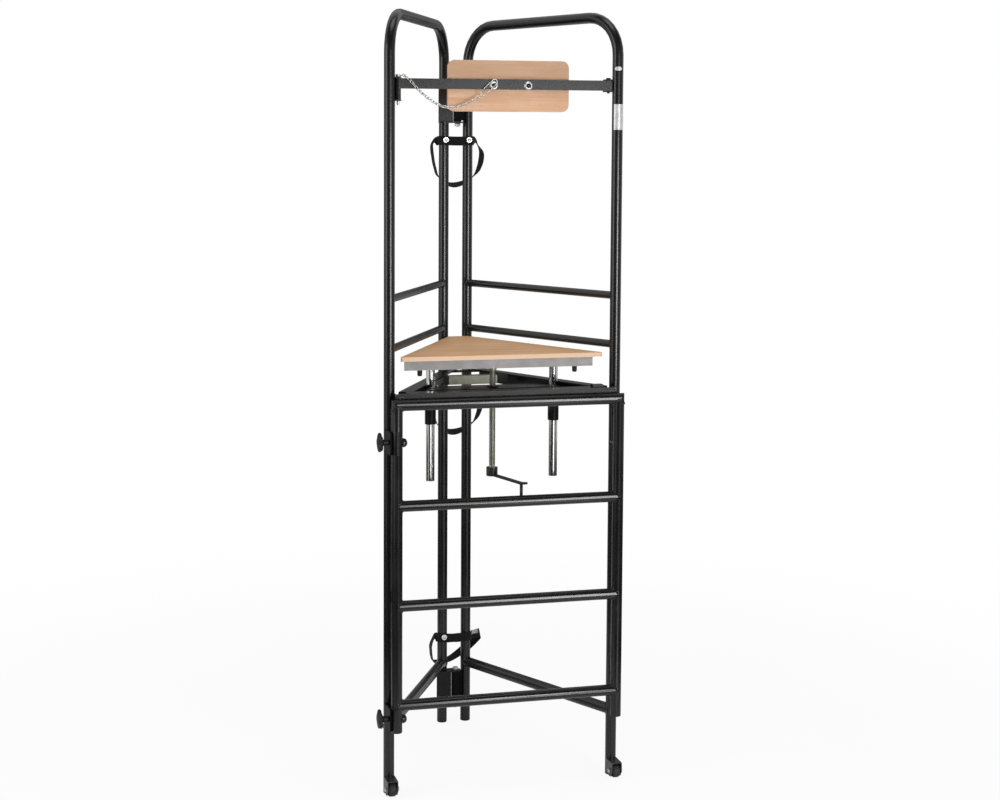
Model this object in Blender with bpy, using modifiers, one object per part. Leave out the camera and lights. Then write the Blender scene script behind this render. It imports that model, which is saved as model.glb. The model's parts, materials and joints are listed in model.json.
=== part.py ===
"""Folding referee stand that hangs on a net post: two bent-tube side frames, a ladder gate, a
backrest gate and a triangular platform that a crank raises. Metres, +Z up, +Y towards the post."""

import math

import bmesh
import bpy
from mathutils import Matrix, Vector

# Side frames, in plan a wedge that is wide in front and narrow at the post
FRONT_WIDTH = 0.660        # between the front legs, centre to centre
REAR_WIDTH = 0.076         # between the rear legs, centre to centre
FRAME_DEPTH = 0.546        # from the front legs to the rear legs
FRAME_HEIGHT = 2.186       # height of the top rail's centre line
TUBE_D = 0.031             # legs, top rail, lower side rung and ladder
TUBE_WALL = 0.002
BEND_RADIUS = 0.110
SIDE_RUNG_D = 0.022
UPPER_RUNG_RISE = 0.163    # side rungs above the resting platform board
MIDDLE_RUNG_RISE = 0.023
RUNG_OVER_HINGE = 0.0025   # from the lower rear hinge up to the lower side rung
PLUG_FLANGE = 0.003        # plastic foot under each leg
PLUG_DEPTH = 0.028

# Ladder gate in front of the legs
LADDER_OFFSET = 0.062      # from the leg plane forward to the ladder plane
LADDER_INSET = 0.009       # a stile stands this far inside the front leg
RUNG_PITCH = 0.280
FIRST_RUNG = 0.269
STILE_FOOT = 0.075         # the stiles run on below the first rung
LADDER_AXIS_INSET = 0.0045
LUG_BELOW_TOP = 0.134      # hinge lugs from the ladder's top and from the stile's foot
LUG_ABOVE_FOOT = 0.046

# Star-knob clamps that hold the gate shut
CLAMP_BELOW_TOP = 0.103
CLAMP_ABOVE_FOOT = 0.037
TAB_HEIGHT = 0.065
TAB_THICKNESS = 0.0045
SADDLE_WALL = 0.0025
KNOB_D = 0.056
KNOB_THICKNESS = 0.021
KNOB_LOBES = 5
KNOB_NECK = 0.015
NECK_D = 0.014
SCREW_D = 0.010

# Backrest gate
BAR_DROP = 0.196           # from the top rail down to the centre of the bar
BAR_H = 0.028
BAR_D = 0.015
BAR_WALL = 0.002
BAR_AXIS_INSET = 0.028     # the bar's hinge stands this far inside the right front leg
BAR_END = 0.009            # the bar beyond its hinge axis
SLEEVE_D = 0.016
SLEEVE_BELOW_BAR = 0.031
PIN_D = 0.008
PIN_HEAD_D = 0.014
PIN_HEAD_H = 0.007
PIN_BELOW_SLEEVE = 0.0145
LUG_THICKNESS = 0.003
BACKREST_W = 0.350
BACKREST_H = 0.142
BACKREST_T = 0.012
BACKREST_X = 0.0125
BACKREST_DROP = 0.004      # the board's middle below the bar's
BACKREST_CORNER = 0.020
CHAIN_D = 0.005
CHAIN_SLACK = 0.068        # the chain's lowest point below the bar's centre
CHAIN_END_X = -0.0400
RING_D = 0.012             # split ring in the pin's head
RING_WIRE = 0.002

# Rear hinge between the two side frames
HINGE_INSET = 0.021        # the hinge axis stands this far ahead of the rear legs
HINGE_HEIGHT = 0.110
UPPER_HINGE_DROP = 0.294   # from the top rail down to the upper bracket's foot
LOWER_HINGE_BOTTOM = 0.062
HINGE_PLATE = 0.004
LEAF_OUTSIDE = 0.0215      # the bracket's leaf to both sides of the rear leg's middle
LEAF_INSIDE = 0.023
BARREL_D = 0.025
HINGE_BOLT_D = 0.010
HINGE_NUT_D = 0.0184
LUG_RADIUS = 0.016

# Tray: the triangular carrier bolted between the side frames
TRAY_GAP = 0.025           # from a frame's centre plane to the tray's and the board's edge
TRAY_OVER_LADDER = 0.030   # the tray's top above the ladder's top tube
TRAY_BEHIND_LADDER = 0.001
ANGLE_H = 0.040            # steel angle, height of its upright leg
ANGLE_W = 0.038            # width of its flat leg
ANGLE_T = 0.004
EAR_INSET = 0.026
TRAY_REAR_GAP = 0.091      # from the rear legs forward to the tray's rear end
REAR_TUBE_AHEAD = 0.236
REAR_TUBE_SIZE = 0.026
REAR_TUBE_WALL = 0.002
REAR_TUBE_DROP = 0.002
LIFT_Y = 0.115             # guides and spindle stand in one line across the tray
CHANNEL_W = 0.076
CHANNEL_DROP = 0.010
CHANNEL_H = 0.030
STOP_W = 0.032             # raised stop on the tray's right front corner
STOP_D = 0.023
STOP_H = 0.0065

# Lift: two guide tubes in sleeves, and a spindle in a nut
GUIDE_INSET = 0.0745       # from a frame's centre plane to the guide
GUIDE_D = 0.025
GUIDE_BELOW_SLEEVE = 0.164
SLEEVE_TUBE_D = 0.032
SLEEVE_TUBE_LENGTH = 0.103
SPINDLE_D = 0.018
NUT_D = 0.036
NUT_LENGTH = 0.034
HUB_D = 0.033
HUB_H = 0.025
HUB_ABOVE_GUIDES = 0.007
CRANK_X, CRANK_Y = 0.054, -0.115  # from the spindle to the grip, in plan
CRANK_DROP = 0.0065
CRANK_TIP = 0.020          # the arm beyond its grip
ARM_W = 0.012
ARM_T = 0.006
GRIP_D = 0.009
GRIP_LENGTH = 0.045

# Platform
BOARD_OVER_TRAY = 0.094
BOARD_T = 0.012
BOARD_FRONT_Y = 0.005
BOARD_REAR_GAP = 0.041     # from the rear legs forward to the board
BOARD_CORNER = 0.006
PLATFORM_FRONT_Y = 0.042
PLATFORM_REAR_GAP = 0.076
PLATFORM_ANGLE = 0.030
PLATFORM_ANGLE_T = 0.003
CARRIAGE_T = 0.005
CARRIAGE_W = 0.060
BUMPER_INSET = 0.0615
BUMPER_D = 0.020
BUMPER_DROP = 0.018        # how far a bumper stands below the platform frame

# Transport wheels
WHEEL_D = 0.040
WHEEL_GAP = 0.003          # between the wheel and the leg, and between the wheel and the floor
AXLE_D = 0.008
AXLE_HEAD_D = 0.013
AXLE_HEAD_H = 0.005
FORK_T = 0.0025
FORK_TOP = 0.049
FORK_REACH = 0.055         # from the leg's centre to the fork's front edge

# Straps that go round the post
STRAP_W = 0.028
STRAP_T = 0.002
STRAP_BELOW_HINGE = 0.054
STRAP_BELOW_TRAY = 0.084
STRAP_OVER_RUNG = 0.084
STRAP_DROPS = {"upper": 0.137, "middle": 0.138, "lower": 0.094}
STRAP_LEFT = 0.071         # how far a loop reaches to the left, to the right and back
STRAP_RIGHT = 0.093
STRAP_BACK = 0.042

GAP = 0.0003               # between pieces that touch
RUN = 0.0003               # radial clearance of a shaft in its hole

LEG_R = TUBE_D / 2
HALF_FRONT = FRONT_WIDTH / 2
HALF_REAR = REAR_WIDTH / 2
SPLAY = (HALF_FRONT - HALF_REAR) / FRAME_DEPTH
SPLAY_COS = 1 / math.hypot(1, SPLAY)
HINGE_Y = FRAME_DEPTH - HINGE_INSET
HINGE_BOTTOMS = {"upper": FRAME_HEIGHT - UPPER_HINGE_DROP, "lower": LOWER_HINGE_BOTTOM}
LOWER_RUNG_HEIGHT = LOWER_HINGE_BOTTOM + HINGE_HEIGHT + LEG_R + RUNG_OVER_HINGE
LADDER_Y = -LADDER_OFFSET
LADDER_HALF = HALF_FRONT - LADDER_INSET
LADDER_TOP = FIRST_RUNG + 3 * RUNG_PITCH
STILE_BOTTOM = FIRST_RUNG - STILE_FOOT
LADDER_AXIS_X, LADDER_AXIS_Y = HALF_FRONT - LADDER_AXIS_INSET, LADDER_Y / 2
HINGE_LUG_HEIGHTS = {"upper": LADDER_TOP - LUG_BELOW_TOP, "lower": STILE_BOTTOM + LUG_ABOVE_FOOT}
CLAMP_HEIGHTS = {"upper": LADDER_TOP - CLAMP_BELOW_TOP, "lower": STILE_BOTTOM + CLAMP_ABOVE_FOOT}
BAR_HEIGHT = FRAME_HEIGHT - BAR_DROP
BAR_AXIS_X = HALF_FRONT - BAR_AXIS_INSET
SLEEVE_X = -HALF_FRONT + LEG_R + SLEEVE_D / 2 + 0.0005
SLEEVE_BOTTOM = BAR_HEIGHT - BAR_H / 2 - SLEEVE_BELOW_BAR
PIN_TIP = SLEEVE_BOTTOM - PIN_BELOW_SLEEVE
PIN_HEAD_Z = BAR_HEIGHT + BAR_H / 2 + LUG_THICKNESS + 3 * GAP
RING_X = SLEEVE_X + PIN_HEAD_D / 2 + 0.0055
BACKREST_Z = BAR_HEIGHT - BACKREST_DROP
TRAY_TOP = LADDER_TOP + TRAY_OVER_LADDER
TRAY_FRONT_Y = LADDER_Y + LEG_R + TRAY_BEHIND_LADDER
TRAY_REAR_Y = FRAME_DEPTH - TRAY_REAR_GAP
EAR_X = HALF_FRONT - EAR_INSET
REAR_TUBE_Y = FRAME_DEPTH - REAR_TUBE_AHEAD
REAR_TUBE_TOP = TRAY_TOP - REAR_TUBE_DROP
CHANNEL_TOP = TRAY_TOP - CHANNEL_DROP
GUIDE_X = HALF_FRONT - SPLAY * LIFT_Y - GUIDE_INSET / SPLAY_COS
SLEEVE_TUBE_BOTTOM = CHANNEL_TOP - SLEEVE_TUBE_LENGTH
GUIDE_BOTTOM = SLEEVE_TUBE_BOTTOM - GUIDE_BELOW_SLEEVE
NUT_BOTTOM = CHANNEL_TOP - NUT_LENGTH
HUB_Z = (GUIDE_BOTTOM + HUB_ABOVE_GUIDES, GUIDE_BOTTOM + HUB_ABOVE_GUIDES + HUB_H)
BOARD_TOP = TRAY_TOP + BOARD_OVER_TRAY
BOARD_BOTTOM = BOARD_TOP - BOARD_T
BOARD_REAR_Y = FRAME_DEPTH - BOARD_REAR_GAP
PLATFORM_REAR_Y = FRAME_DEPTH - PLATFORM_REAR_GAP
PLATFORM_TOP = BOARD_BOTTOM - GAP
PLATFORM_BOTTOM = PLATFORM_TOP - PLATFORM_ANGLE
BUMPER_Y = PLATFORM_FRONT_Y + PLATFORM_ANGLE_T + BUMPER_D / 2 + 0.0035
BUMPER_X = HALF_FRONT - SPLAY * BUMPER_Y - BUMPER_INSET / SPLAY_COS
SIDE_RUNG_HEIGHTS = {"upper": BOARD_TOP + UPPER_RUNG_RISE, "middle": BOARD_TOP + MIDDLE_RUNG_RISE}
CARRIAGE_TOP = PLATFORM_BOTTOM - GAP
CARRIAGE_BOTTOM = CARRIAGE_TOP - CARRIAGE_T
TAB_X = (-LADDER_HALF - LEG_R - SADDLE_WALL - 2 * GAP - TAB_THICKNESS,
         -LADDER_HALF - LEG_R - SADDLE_WALL - 2 * GAP)
KNOB_X = TAB_X[0] - GAP - KNOB_NECK - KNOB_THICKNESS
WHEEL_Y = -LEG_R - WHEEL_GAP - WHEEL_D / 2
WHEEL_Z = WHEEL_GAP + WHEEL_D / 2
STRAP_HEIGHTS = {"upper": HINGE_BOTTOMS["upper"] - STRAP_BELOW_HINGE, "middle": TRAY_TOP - STRAP_BELOW_TRAY,
                 "lower": LOWER_RUNG_HEIGHT + STRAP_OVER_RUNG}

PARTS = CUTTERS = STAND = None


# Scene and materials
def clear_scene():
    for obj in list(bpy.data.objects):
        bpy.data.objects.remove(obj, do_unlink=True)


def new_collection(name):
    collection = bpy.data.collections.new(name)
    bpy.context.scene.collection.children.link(collection)
    return collection


def material(name, colour, roughness, metallic=0.0):
    made = bpy.data.materials.new(name)
    made.use_nodes = True
    shader = made.node_tree.nodes["Principled BSDF"]
    shader.inputs["Base Color"].default_value = (*colour, 1)
    shader.inputs["Roughness"].default_value = roughness
    shader.inputs["Metallic"].default_value = metallic
    made.diffuse_color = (*colour, 1)
    return made


def empty(name, place):
    joint = bpy.data.objects.new(name, None)
    joint.location = place
    joint.parent = STAND
    PARTS.objects.link(joint)
    return joint


# Mesh helpers
def mesh_object(name, bm):
    mesh = bpy.data.meshes.new(name)
    bm.to_mesh(mesh)
    bm.free()
    obj = bpy.data.objects.new(name, mesh)
    PARTS.objects.link(obj)
    return obj


def box(name, low, high):
    bm = bmesh.new()
    size = Vector(high) - Vector(low)
    middle = (Vector(high) + Vector(low)) / 2
    bmesh.ops.create_cube(bm, size=1, matrix=Matrix.Translation(middle) @ Matrix.Diagonal((*size, 1)))
    return mesh_object(name, bm)


def rod(name, start, end, radius, sides=16, end_radius=None):
    start, end = Vector(start), Vector(end)
    along = end - start
    turn = along.to_track_quat("Z", "Y").to_matrix().to_4x4()
    bm = bmesh.new()
    bmesh.ops.create_cone(
        bm, cap_ends=True, segments=sides, radius1=radius, depth=along.length,
        radius2=radius if end_radius is None else end_radius,
        matrix=Matrix.Translation((start + end) / 2) @ turn,
    )
    obj = mesh_object(name, bm)
    smooth(obj)
    return obj


def curve_data(name, points, cyclic=False, dimensions="3D"):
    data = bpy.data.curves.new(name, "CURVE")
    data.dimensions = dimensions
    data.resolution_u = 1
    spline = data.splines.new("POLY")
    spline.points.add(len(points) - 1)
    for slot, point in zip(spline.points, points):
        slot.co = (*point, 1)
    spline.use_cyclic_u = cyclic
    return data


def mesh_of_curve(name, data, weld=True):
    """The curve's mesh as an object of its own, with its caps welded on."""
    curve = bpy.data.objects.new(name + "_curve", data)
    bpy.context.scene.collection.objects.link(curve)
    graph = bpy.context.evaluated_depsgraph_get()
    mesh = bpy.data.meshes.new_from_object(curve.evaluated_get(graph))
    bpy.data.objects.remove(curve, do_unlink=True)
    bpy.data.curves.remove(data)
    if weld:
        bm = bmesh.new()
        bm.from_mesh(mesh)
        bmesh.ops.remove_doubles(bm, verts=bm.verts, dist=1e-6)
        bmesh.ops.recalc_face_normals(bm, faces=bm.faces)
        bm.to_mesh(mesh)
        bm.free()
    mesh.name = name
    obj = bpy.data.objects.new(name, mesh)
    PARTS.objects.link(obj)
    return obj


def tube(name, points, diameter, wall, sides=16):
    """A bent tube with a real wall and open ends."""
    data = curve_data(name, points)
    data.bevel_depth = diameter / 2
    data.bevel_resolution = (sides - 4) // 2
    obj = mesh_of_curve(name, data)
    shell = obj.modifiers.new("wall", "SOLIDIFY")
    shell.thickness = wall
    shell.offset = -1
    smooth(obj)
    return obj


def straight_tube(name, start, end, start_face=None, end_face=None, sides=16):
    """A straight tube whose ends lie on planes through its end points, given by their normals."""
    start, end = Vector(start), Vector(end)
    along = (end - start).normalized()
    turn = along.to_track_quat("Z", "Y")
    bm = bmesh.new()
    rings = []
    for place, face in ((start, start_face), (end, end_face)):
        normal = Vector(face or along)
        for radius in (TUBE_D / 2, TUBE_D / 2 - TUBE_WALL):
            ring = []
            for i in range(sides):
                angle = 2 * math.pi * i / sides
                out = turn @ Vector((radius * math.cos(angle), radius * math.sin(angle), 0))
                ring.append(bm.verts.new(place + out - along * out.dot(normal) / along.dot(normal)))
            rings.append(ring)
    order = (rings[0], rings[2], rings[3], rings[1])
    for near, far in zip(order, order[1:] + order[:1]):
        for i in range(sides):
            k = (i + 1) % sides
            bm.faces.new((near[i], near[k], far[k], far[i]))
    bmesh.ops.recalc_face_normals(bm, faces=bm.faces)
    obj = mesh_object(name, bm)
    smooth(obj)
    return obj


def wire(name, points, diameter, sides=8):
    data = curve_data(name, points)
    data.bevel_depth = diameter / 2
    data.bevel_resolution = (sides - 4) // 2
    data.use_fill_caps = True
    obj = mesh_of_curve(name, data)
    smooth(obj)
    return obj


def plate(name, outline, low, high, axis="Z"):
    """A flat outline made thick along an axis. Along X the outline holds (y, z), along Y (x, z)."""
    data = curve_data(name, [(*point, 0) for point in outline], cyclic=True, dimensions="2D")
    data.fill_mode = "BOTH"
    data.extrude = (high - low) / 2
    obj = mesh_of_curve(name, data)
    middle = (low + high) / 2
    turns = {
        "Z": Matrix.Translation((0, 0, middle)),
        "X": Matrix(((0, 0, 1, middle), (1, 0, 0, 0), (0, 1, 0, 0), (0, 0, 0, 1))),
        "Y": Matrix(((1, 0, 0, 0), (0, 0, 1, middle), (0, 1, 0, 0), (0, 0, 0, 1))),
    }
    obj.data.transform(turns[axis])
    if turns[axis].determinant() < 0:
        obj.data.flip_normals()
    return obj


def turned(name, profile, place, axis=(0, 0, 1), steps=24):
    """A turned shape from a profile of (radius, height), which ends on the axis or where it began."""
    bm = bmesh.new()
    verts = [bm.verts.new((radius, 0, height)) for radius, height in profile]
    edges = [bm.edges.new(pair) for pair in zip(verts, verts[1:])]
    bmesh.ops.spin(bm, geom=verts + edges, angle=2 * math.pi, steps=steps, axis=(0, 0, 1), cent=(0, 0, 0))
    bmesh.ops.remove_doubles(bm, verts=bm.verts, dist=1e-6)
    bmesh.ops.recalc_face_normals(bm, faces=bm.faces)
    turn = Vector(axis).to_track_quat("Z", "Y").to_matrix().to_4x4()
    bmesh.ops.transform(bm, matrix=Matrix.Translation(place) @ turn, verts=bm.verts)
    obj = mesh_object(name, bm)
    smooth(obj)
    return obj


def smooth(obj):
    obj.data.shade_smooth()
    obj.data.set_sharp_from_angle(angle=math.radians(35))


def helper(obj):
    """Turns an object into a cutter or an operand, which doesn't render."""
    obj.hide_render = True
    obj.display_type = "WIRE"
    for collection in list(obj.users_collection):
        collection.objects.unlink(obj)
    CUTTERS.objects.link(obj)
    obj.parent = STAND
    return obj


def combine(obj, operation, *others):
    for other in others:
        if other.name not in CUTTERS.objects:
            helper(other)
        change = obj.modifiers.new(operation.lower(), "BOOLEAN")
        change.operation = operation
        change.object = other
        change.solver = "MANIFOLD"
    return obj


def cut(obj, *cutters):
    return combine(obj, "DIFFERENCE", *cutters)


def fuse(obj, *pieces):
    return combine(obj, "UNION", *pieces)


def finish(obj, finish_material, joint=None):
    """Gives the piece its material and hangs it from the stand or from its joint's empty."""
    obj.data.materials.clear()
    obj.data.materials.append(finish_material)
    obj.parent = joint or STAND
    if joint:
        obj.matrix_parent_inverse = Matrix.Translation(-joint.location)
    return obj


# Outlines in plan
def edge_x(y, offset):
    """Half width, at this depth, of a line that lies this far inside a side frame's plane."""
    return HALF_FRONT - SPLAY * y - offset / SPLAY_COS


def strip(side, y_low, y_high, outer, inner):
    """A strip along a side frame, between two distances from its plane, with square-on ends."""
    corners = [(edge_x(y_low, outer), y_low), (edge_x(y_high, outer), y_high),
               (edge_x(y_high, inner), y_high), (edge_x(y_low, inner), y_low)]
    return [(side * x, y) for x, y in corners]


def across(y_low, y_high, offset):
    """A strip across the stand that ends this far inside both side frames."""
    return [(-edge_x(y_low, offset), y_low), (edge_x(y_low, offset), y_low),
            (edge_x(y_high, offset), y_high), (-edge_x(y_high, offset), y_high)]


def arc(centre, radius, first, last, steps):
    """Points of an arc, with its two angles in degrees."""
    turn = [math.radians(first + (last - first) * i / steps) for i in range(steps + 1)]
    return [(centre[0] + radius * math.cos(a), centre[1] + radius * math.sin(a)) for a in turn]


def rounded(corners, radius, steps=4):
    """The outline with each corner rounded."""
    outline = []
    for i, corner in enumerate(corners):
        here = Vector(corner)
        back = (Vector(corners[i - 1]) - here).normalized()
        on = (Vector(corners[(i + 1) % len(corners)]) - here).normalized()
        half = back.angle(on) / 2
        reach = radius / math.tan(half)
        centre = here + (back + on).normalized() * radius / math.sin(half)
        first = here + back * reach - centre
        last = here + on * reach - centre
        sweep = math.atan2(first.x * last.y - first.y * last.x, first.dot(last))
        for step in range(steps + 1):
            outline.append(tuple(centre + Matrix.Rotation(sweep * step / steps, 2) @ first))
    return outline


def angle_bar(name, side, ends, offset, section, top):
    """An angle along a side frame. The section is its flat leg's width, its height and its wall."""
    width, height, wall = section
    bar = plate(name, strip(side, ends[0], ends[1], offset, offset + width), top - height, top)
    inside = strip(side, ends[0] - 0.01, ends[1] + 0.01, offset + wall, offset + width + 0.01)
    return cut(bar, plate("inside_" + name, inside, top - height - 0.01, top - wall))


# Side frames
def leg_places(side):
    return Vector((side * HALF_FRONT, 0, 0)), Vector((side * HALF_REAR, FRAME_DEPTH, 0))


def frame_path(side):
    """Up the front leg, back along the top rail and down the rear leg."""
    front, rear = leg_places(side)
    along = (rear - front).normalized()
    length = (rear - front).length
    up = Vector((0, 0, 1))
    path = [front + up * PLUG_FLANGE]
    for centre_along, first in ((BEND_RADIUS, 180), (length - BEND_RADIUS, 90)):
        middle = front + along * centre_along + up * (FRAME_HEIGHT - BEND_RADIUS)
        for step in range(9):
            angle = math.radians(first - 90 * step / 8)
            path.append(middle + along * BEND_RADIUS * math.cos(angle) + up * BEND_RADIUS * math.sin(angle))
    path.append(rear + up * PLUG_FLANGE)
    return path


def leg_cutter(name, place):
    """The space of a leg with its gap, which shapes the ends of what is welded to it."""
    return helper(rod(name, place, place + Vector((0, 0, FRAME_HEIGHT - BEND_RADIUS)), LEG_R + GAP, 32))


def side_frame(side, word, steel, joint):
    """One side frame: bent tube and three rungs with coped ends. Returns the leg cutters."""
    front, rear = leg_places(side)
    cutters = leg_cutter("cope_front_" + word, front), leg_cutter("cope_rear_" + word, rear)
    finish(tube("frame_tube_" + word, frame_path(side), TUBE_D, TUBE_WALL), steel, joint)
    rungs = [(level, height, SIDE_RUNG_D) for level, height in SIDE_RUNG_HEIGHTS.items()]
    for level, height, diameter in rungs + [("lower", LOWER_RUNG_HEIGHT, TUBE_D)]:
        lift = Vector((0, 0, height))
        rung = tube(f"side_rung_{level}_{word}", [front + lift, rear + lift], diameter, TUBE_WALL)
        finish(cut(rung, *cutters), steel, joint)
    return cutters


def foot_plug(name, place, plastic, joint):
    stem = TUBE_D / 2 - TUBE_WALL - GAP
    flange = PLUG_FLANGE - GAP
    profile = [(0, PLUG_DEPTH), (stem - 0.002, PLUG_DEPTH), (stem, PLUG_DEPTH - 0.004),
               (stem, flange), (LEG_R, flange), (LEG_R, 0.001), (LEG_R - 0.001, 0), (0, 0)]
    finish(turned(name, profile, place, steps=16), plastic, joint)


# Transport wheels
def wheel_set(side, word, steel, rubber, cutter, frame_joint, wheel_joint):
    """A folded fork on the front of the leg with its axle bolt, and the wheel in it."""
    leg = side * HALF_FRONT
    inner, outer = LEG_R - FORK_T, LEG_R
    front, low = -FORK_REACH, WHEEL_GAP * 2
    cheek = rounded([(0, low), (0, FORK_TOP), (front, FORK_TOP), (front, WHEEL_Z - 0.001),
                     (WHEEL_Y - 0.004, low)], 0.003, 3)
    fork = plate("wheel_fork_" + word, cheek, leg + inner, leg + outer, "X")
    other = plate("fork_cheek_" + word, cheek, leg - outer, leg - inner, "X")
    web = box("fork_web_" + word, (leg - inner - 0.0005, front + 0.003, FORK_TOP - FORK_T),
              (leg + inner + 0.0005, 0, FORK_TOP))
    bolt = rod("axle_bolt_" + word, (leg - outer - 0.001, WHEEL_Y, WHEEL_Z),
               (leg + outer + 0.001, WHEEL_Y, WHEEL_Z), AXLE_D / 2, 12)
    head = rod("axle_head_" + word, (leg - outer - AXLE_HEAD_H, WHEEL_Y, WHEEL_Z),
               (leg - outer + 0.001, WHEEL_Y, WHEEL_Z), AXLE_HEAD_D / 2, 6)
    nut = rod("axle_nut_" + word, (leg + outer - 0.001, WHEEL_Y, WHEEL_Z),
              (leg + outer + AXLE_HEAD_H, WHEEL_Y, WHEEL_Z), AXLE_HEAD_D / 2, 6)
    finish(cut(fuse(fork, other, web, bolt, head, nut), cutter), steel, frame_joint)
    tyre, hub, bore = WHEEL_D / 2, WHEEL_D / 5, AXLE_D / 2 + RUN
    hub_half, half = inner - 2 * GAP, inner - 0.0025
    rim = tyre - 0.006
    profile = [(bore, hub_half), (hub, hub_half), (hub, half - 0.002), (rim - 0.001, half - 0.002), (rim, half),
               (tyre - 0.003, half), (tyre, half - 0.004), (tyre, 0.004 - half), (tyre - 0.003, -half),
               (rim, -half), (rim - 0.001, 0.002 - half), (hub, 0.002 - half), (hub, -hub_half),
               (bore, -hub_half), (bore, hub_half)]
    wheel = turned("wheel_" + word, profile, (leg, WHEEL_Y, WHEEL_Z), (1, 0, 0), 28)
    finish(wheel, rubber, wheel_joint)


# Rear hinge
def rear_hinge(level, bottom, steel, zinc, cutters, frame_joint):
    """The left frame's folded bracket, the right frame's barrel and the bolt through both."""
    rear_left, rear_right = cutters
    top = bottom + HINGE_HEIGHT
    face = FRAME_DEPTH - LEG_R - GAP
    bracket = box("hinge_bracket_" + level, (-HALF_REAR - LEAF_OUTSIDE, face - HINGE_PLATE, bottom),
                  (-HALF_REAR + LEAF_INSIDE, face, top))
    root = -HALF_REAR - LEAF_OUTSIDE / 2
    lug = [(root, HINGE_Y - LUG_RADIUS)] + arc((0, HINGE_Y), LUG_RADIUS, -90, 90, 10)
    lug += [(root, HINGE_Y + LUG_RADIUS)]
    for place, low in (("top", top - HINGE_PLATE), ("base", bottom)):
        ear = plate(f"hinge_lug_{place}_{level}", lug, low, low + HINGE_PLATE)
        fuse(bracket, ear)
    hole = rod("hinge_hole_" + level, (0, HINGE_Y, bottom - 0.02), (0, HINGE_Y, top + 0.02),
               HINGE_BOLT_D / 2 + RUN, 20)
    finish(cut(bracket, hole, rear_left), steel, frame_joint)

    low, high = bottom + HINGE_PLATE + 0.0005, top - HINGE_PLATE - 0.0005
    barrel = rod("hinge_barrel_" + level, (0, HINGE_Y, low), (0, HINGE_Y, high), BARREL_D / 2, 24)
    towards = Vector((HALF_REAR, FRAME_DEPTH - HINGE_Y, 0))
    side = Vector((-towards.y, towards.x, 0)).normalized() * 0.003
    foot = Vector((0, HINGE_Y, 0)) + towards * 0.2
    head = Vector((0, HINGE_Y, 0)) + towards
    outline = [(foot - side).xy, (head - side).xy, (head + side).xy, (foot + side).xy]
    web = plate("hinge_web_" + level, outline, low + 0.004, high - 0.004)
    finish(cut(fuse(barrel, web), hole, rear_right), steel)

    bolt = rod("hinge_bolt_" + level, (0, HINGE_Y, bottom - 0.012), (0, HINGE_Y, top + GAP + 0.001),
               HINGE_BOLT_D / 2, 16)
    cap = rod("hinge_bolt_head_" + level, (0, HINGE_Y, top + GAP), (0, HINGE_Y, top + 0.0075), HINGE_NUT_D / 2, 6)
    nut = rod("hinge_nut_" + level, (0, HINGE_Y, bottom - 0.0095), (0, HINGE_Y, bottom - GAP), HINGE_NUT_D / 2, 6)
    finish(fuse(bolt, cap, nut), zinc)


# Ladder gate
def ladder(steel, joint):
    left, right = Vector((-LADDER_HALF, LADDER_Y, 0)), Vector((LADDER_HALF, LADDER_Y, 0))
    cutters = leg_cutter("cope_stile_left", left), leg_cutter("cope_stile_right", right)
    lift = Vector((0, 0, LADDER_TOP))
    for side, word, foot in ((-1, "left", left), (1, "right", right)):
        stile = straight_tube("ladder_stile_" + word, foot + Vector((0, 0, STILE_BOTTOM)), foot + lift,
                              end_face=(-side, 0, 1))
        inside = TUBE_D / 2 - TUBE_WALL / 2
        plug = rod("stile_plug_" + word, foot + Vector((0, 0, STILE_BOTTOM - 0.001)),
                   foot + Vector((0, 0, STILE_BOTTOM + 0.012)), inside, 16)
        fuse(stile, plug)
        details = clamp_seats(stile) if side < 0 else hinge_barrels(stile)
        finish(cut(stile, *details), steel, joint)
    joint_gap = Vector((GAP * math.sqrt(2), 0, 0))
    top_tube = straight_tube("ladder_top_tube", left + lift + joint_gap, right + lift - joint_gap,
                             start_face=(1, 0, 1), end_face=(-1, 0, 1))
    finish(top_tube, steel, joint)
    for number in range(3):
        lift = Vector((0, 0, FIRST_RUNG + number * RUNG_PITCH))
        rung = tube(f"ladder_rung_{number + 1}", [left + lift, right + lift], TUBE_D, TUBE_WALL)
        finish(cut(rung, *cutters), steel, joint)


def clamp_seats(stile):
    """Half-shell saddles and dome nuts welded to the left stile. Returns the cutters for the screws."""
    holes = []
    for level, height in CLAMP_HEIGHTS.items():
        low, high = height - TAB_HEIGHT / 2, height + TAB_HEIGHT / 2
        centre = (-LADDER_HALF, LADDER_Y)
        outline = arc(centre, LEG_R + SADDLE_WALL, 90, 285, 14)
        outline += arc(centre, LEG_R - TUBE_WALL / 2, 285, 90, 14)
        fuse(stile, plate("saddle_" + level, outline, low, high))
        profile = [(0, 0.0125), (0.006, 0.0118), (0.0105, 0.0085), (0.0125, 0.004), (0.0125, 0),
                   (0.0125, -0.004), (0, -0.004)]
        place = (-LADDER_HALF + LEG_R, LADDER_Y, height)
        fuse(stile, turned("dome_nut_" + level, profile, place, (1, 0, 0), 16))
        holes.append(rod("screw_hole_" + level, (TAB_X[0] - 0.01, LADDER_Y, height),
                         (-LADDER_HALF + LEG_R + 0.0085, LADDER_Y, height), SCREW_D / 2 + RUN, 16))
    return holes


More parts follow.
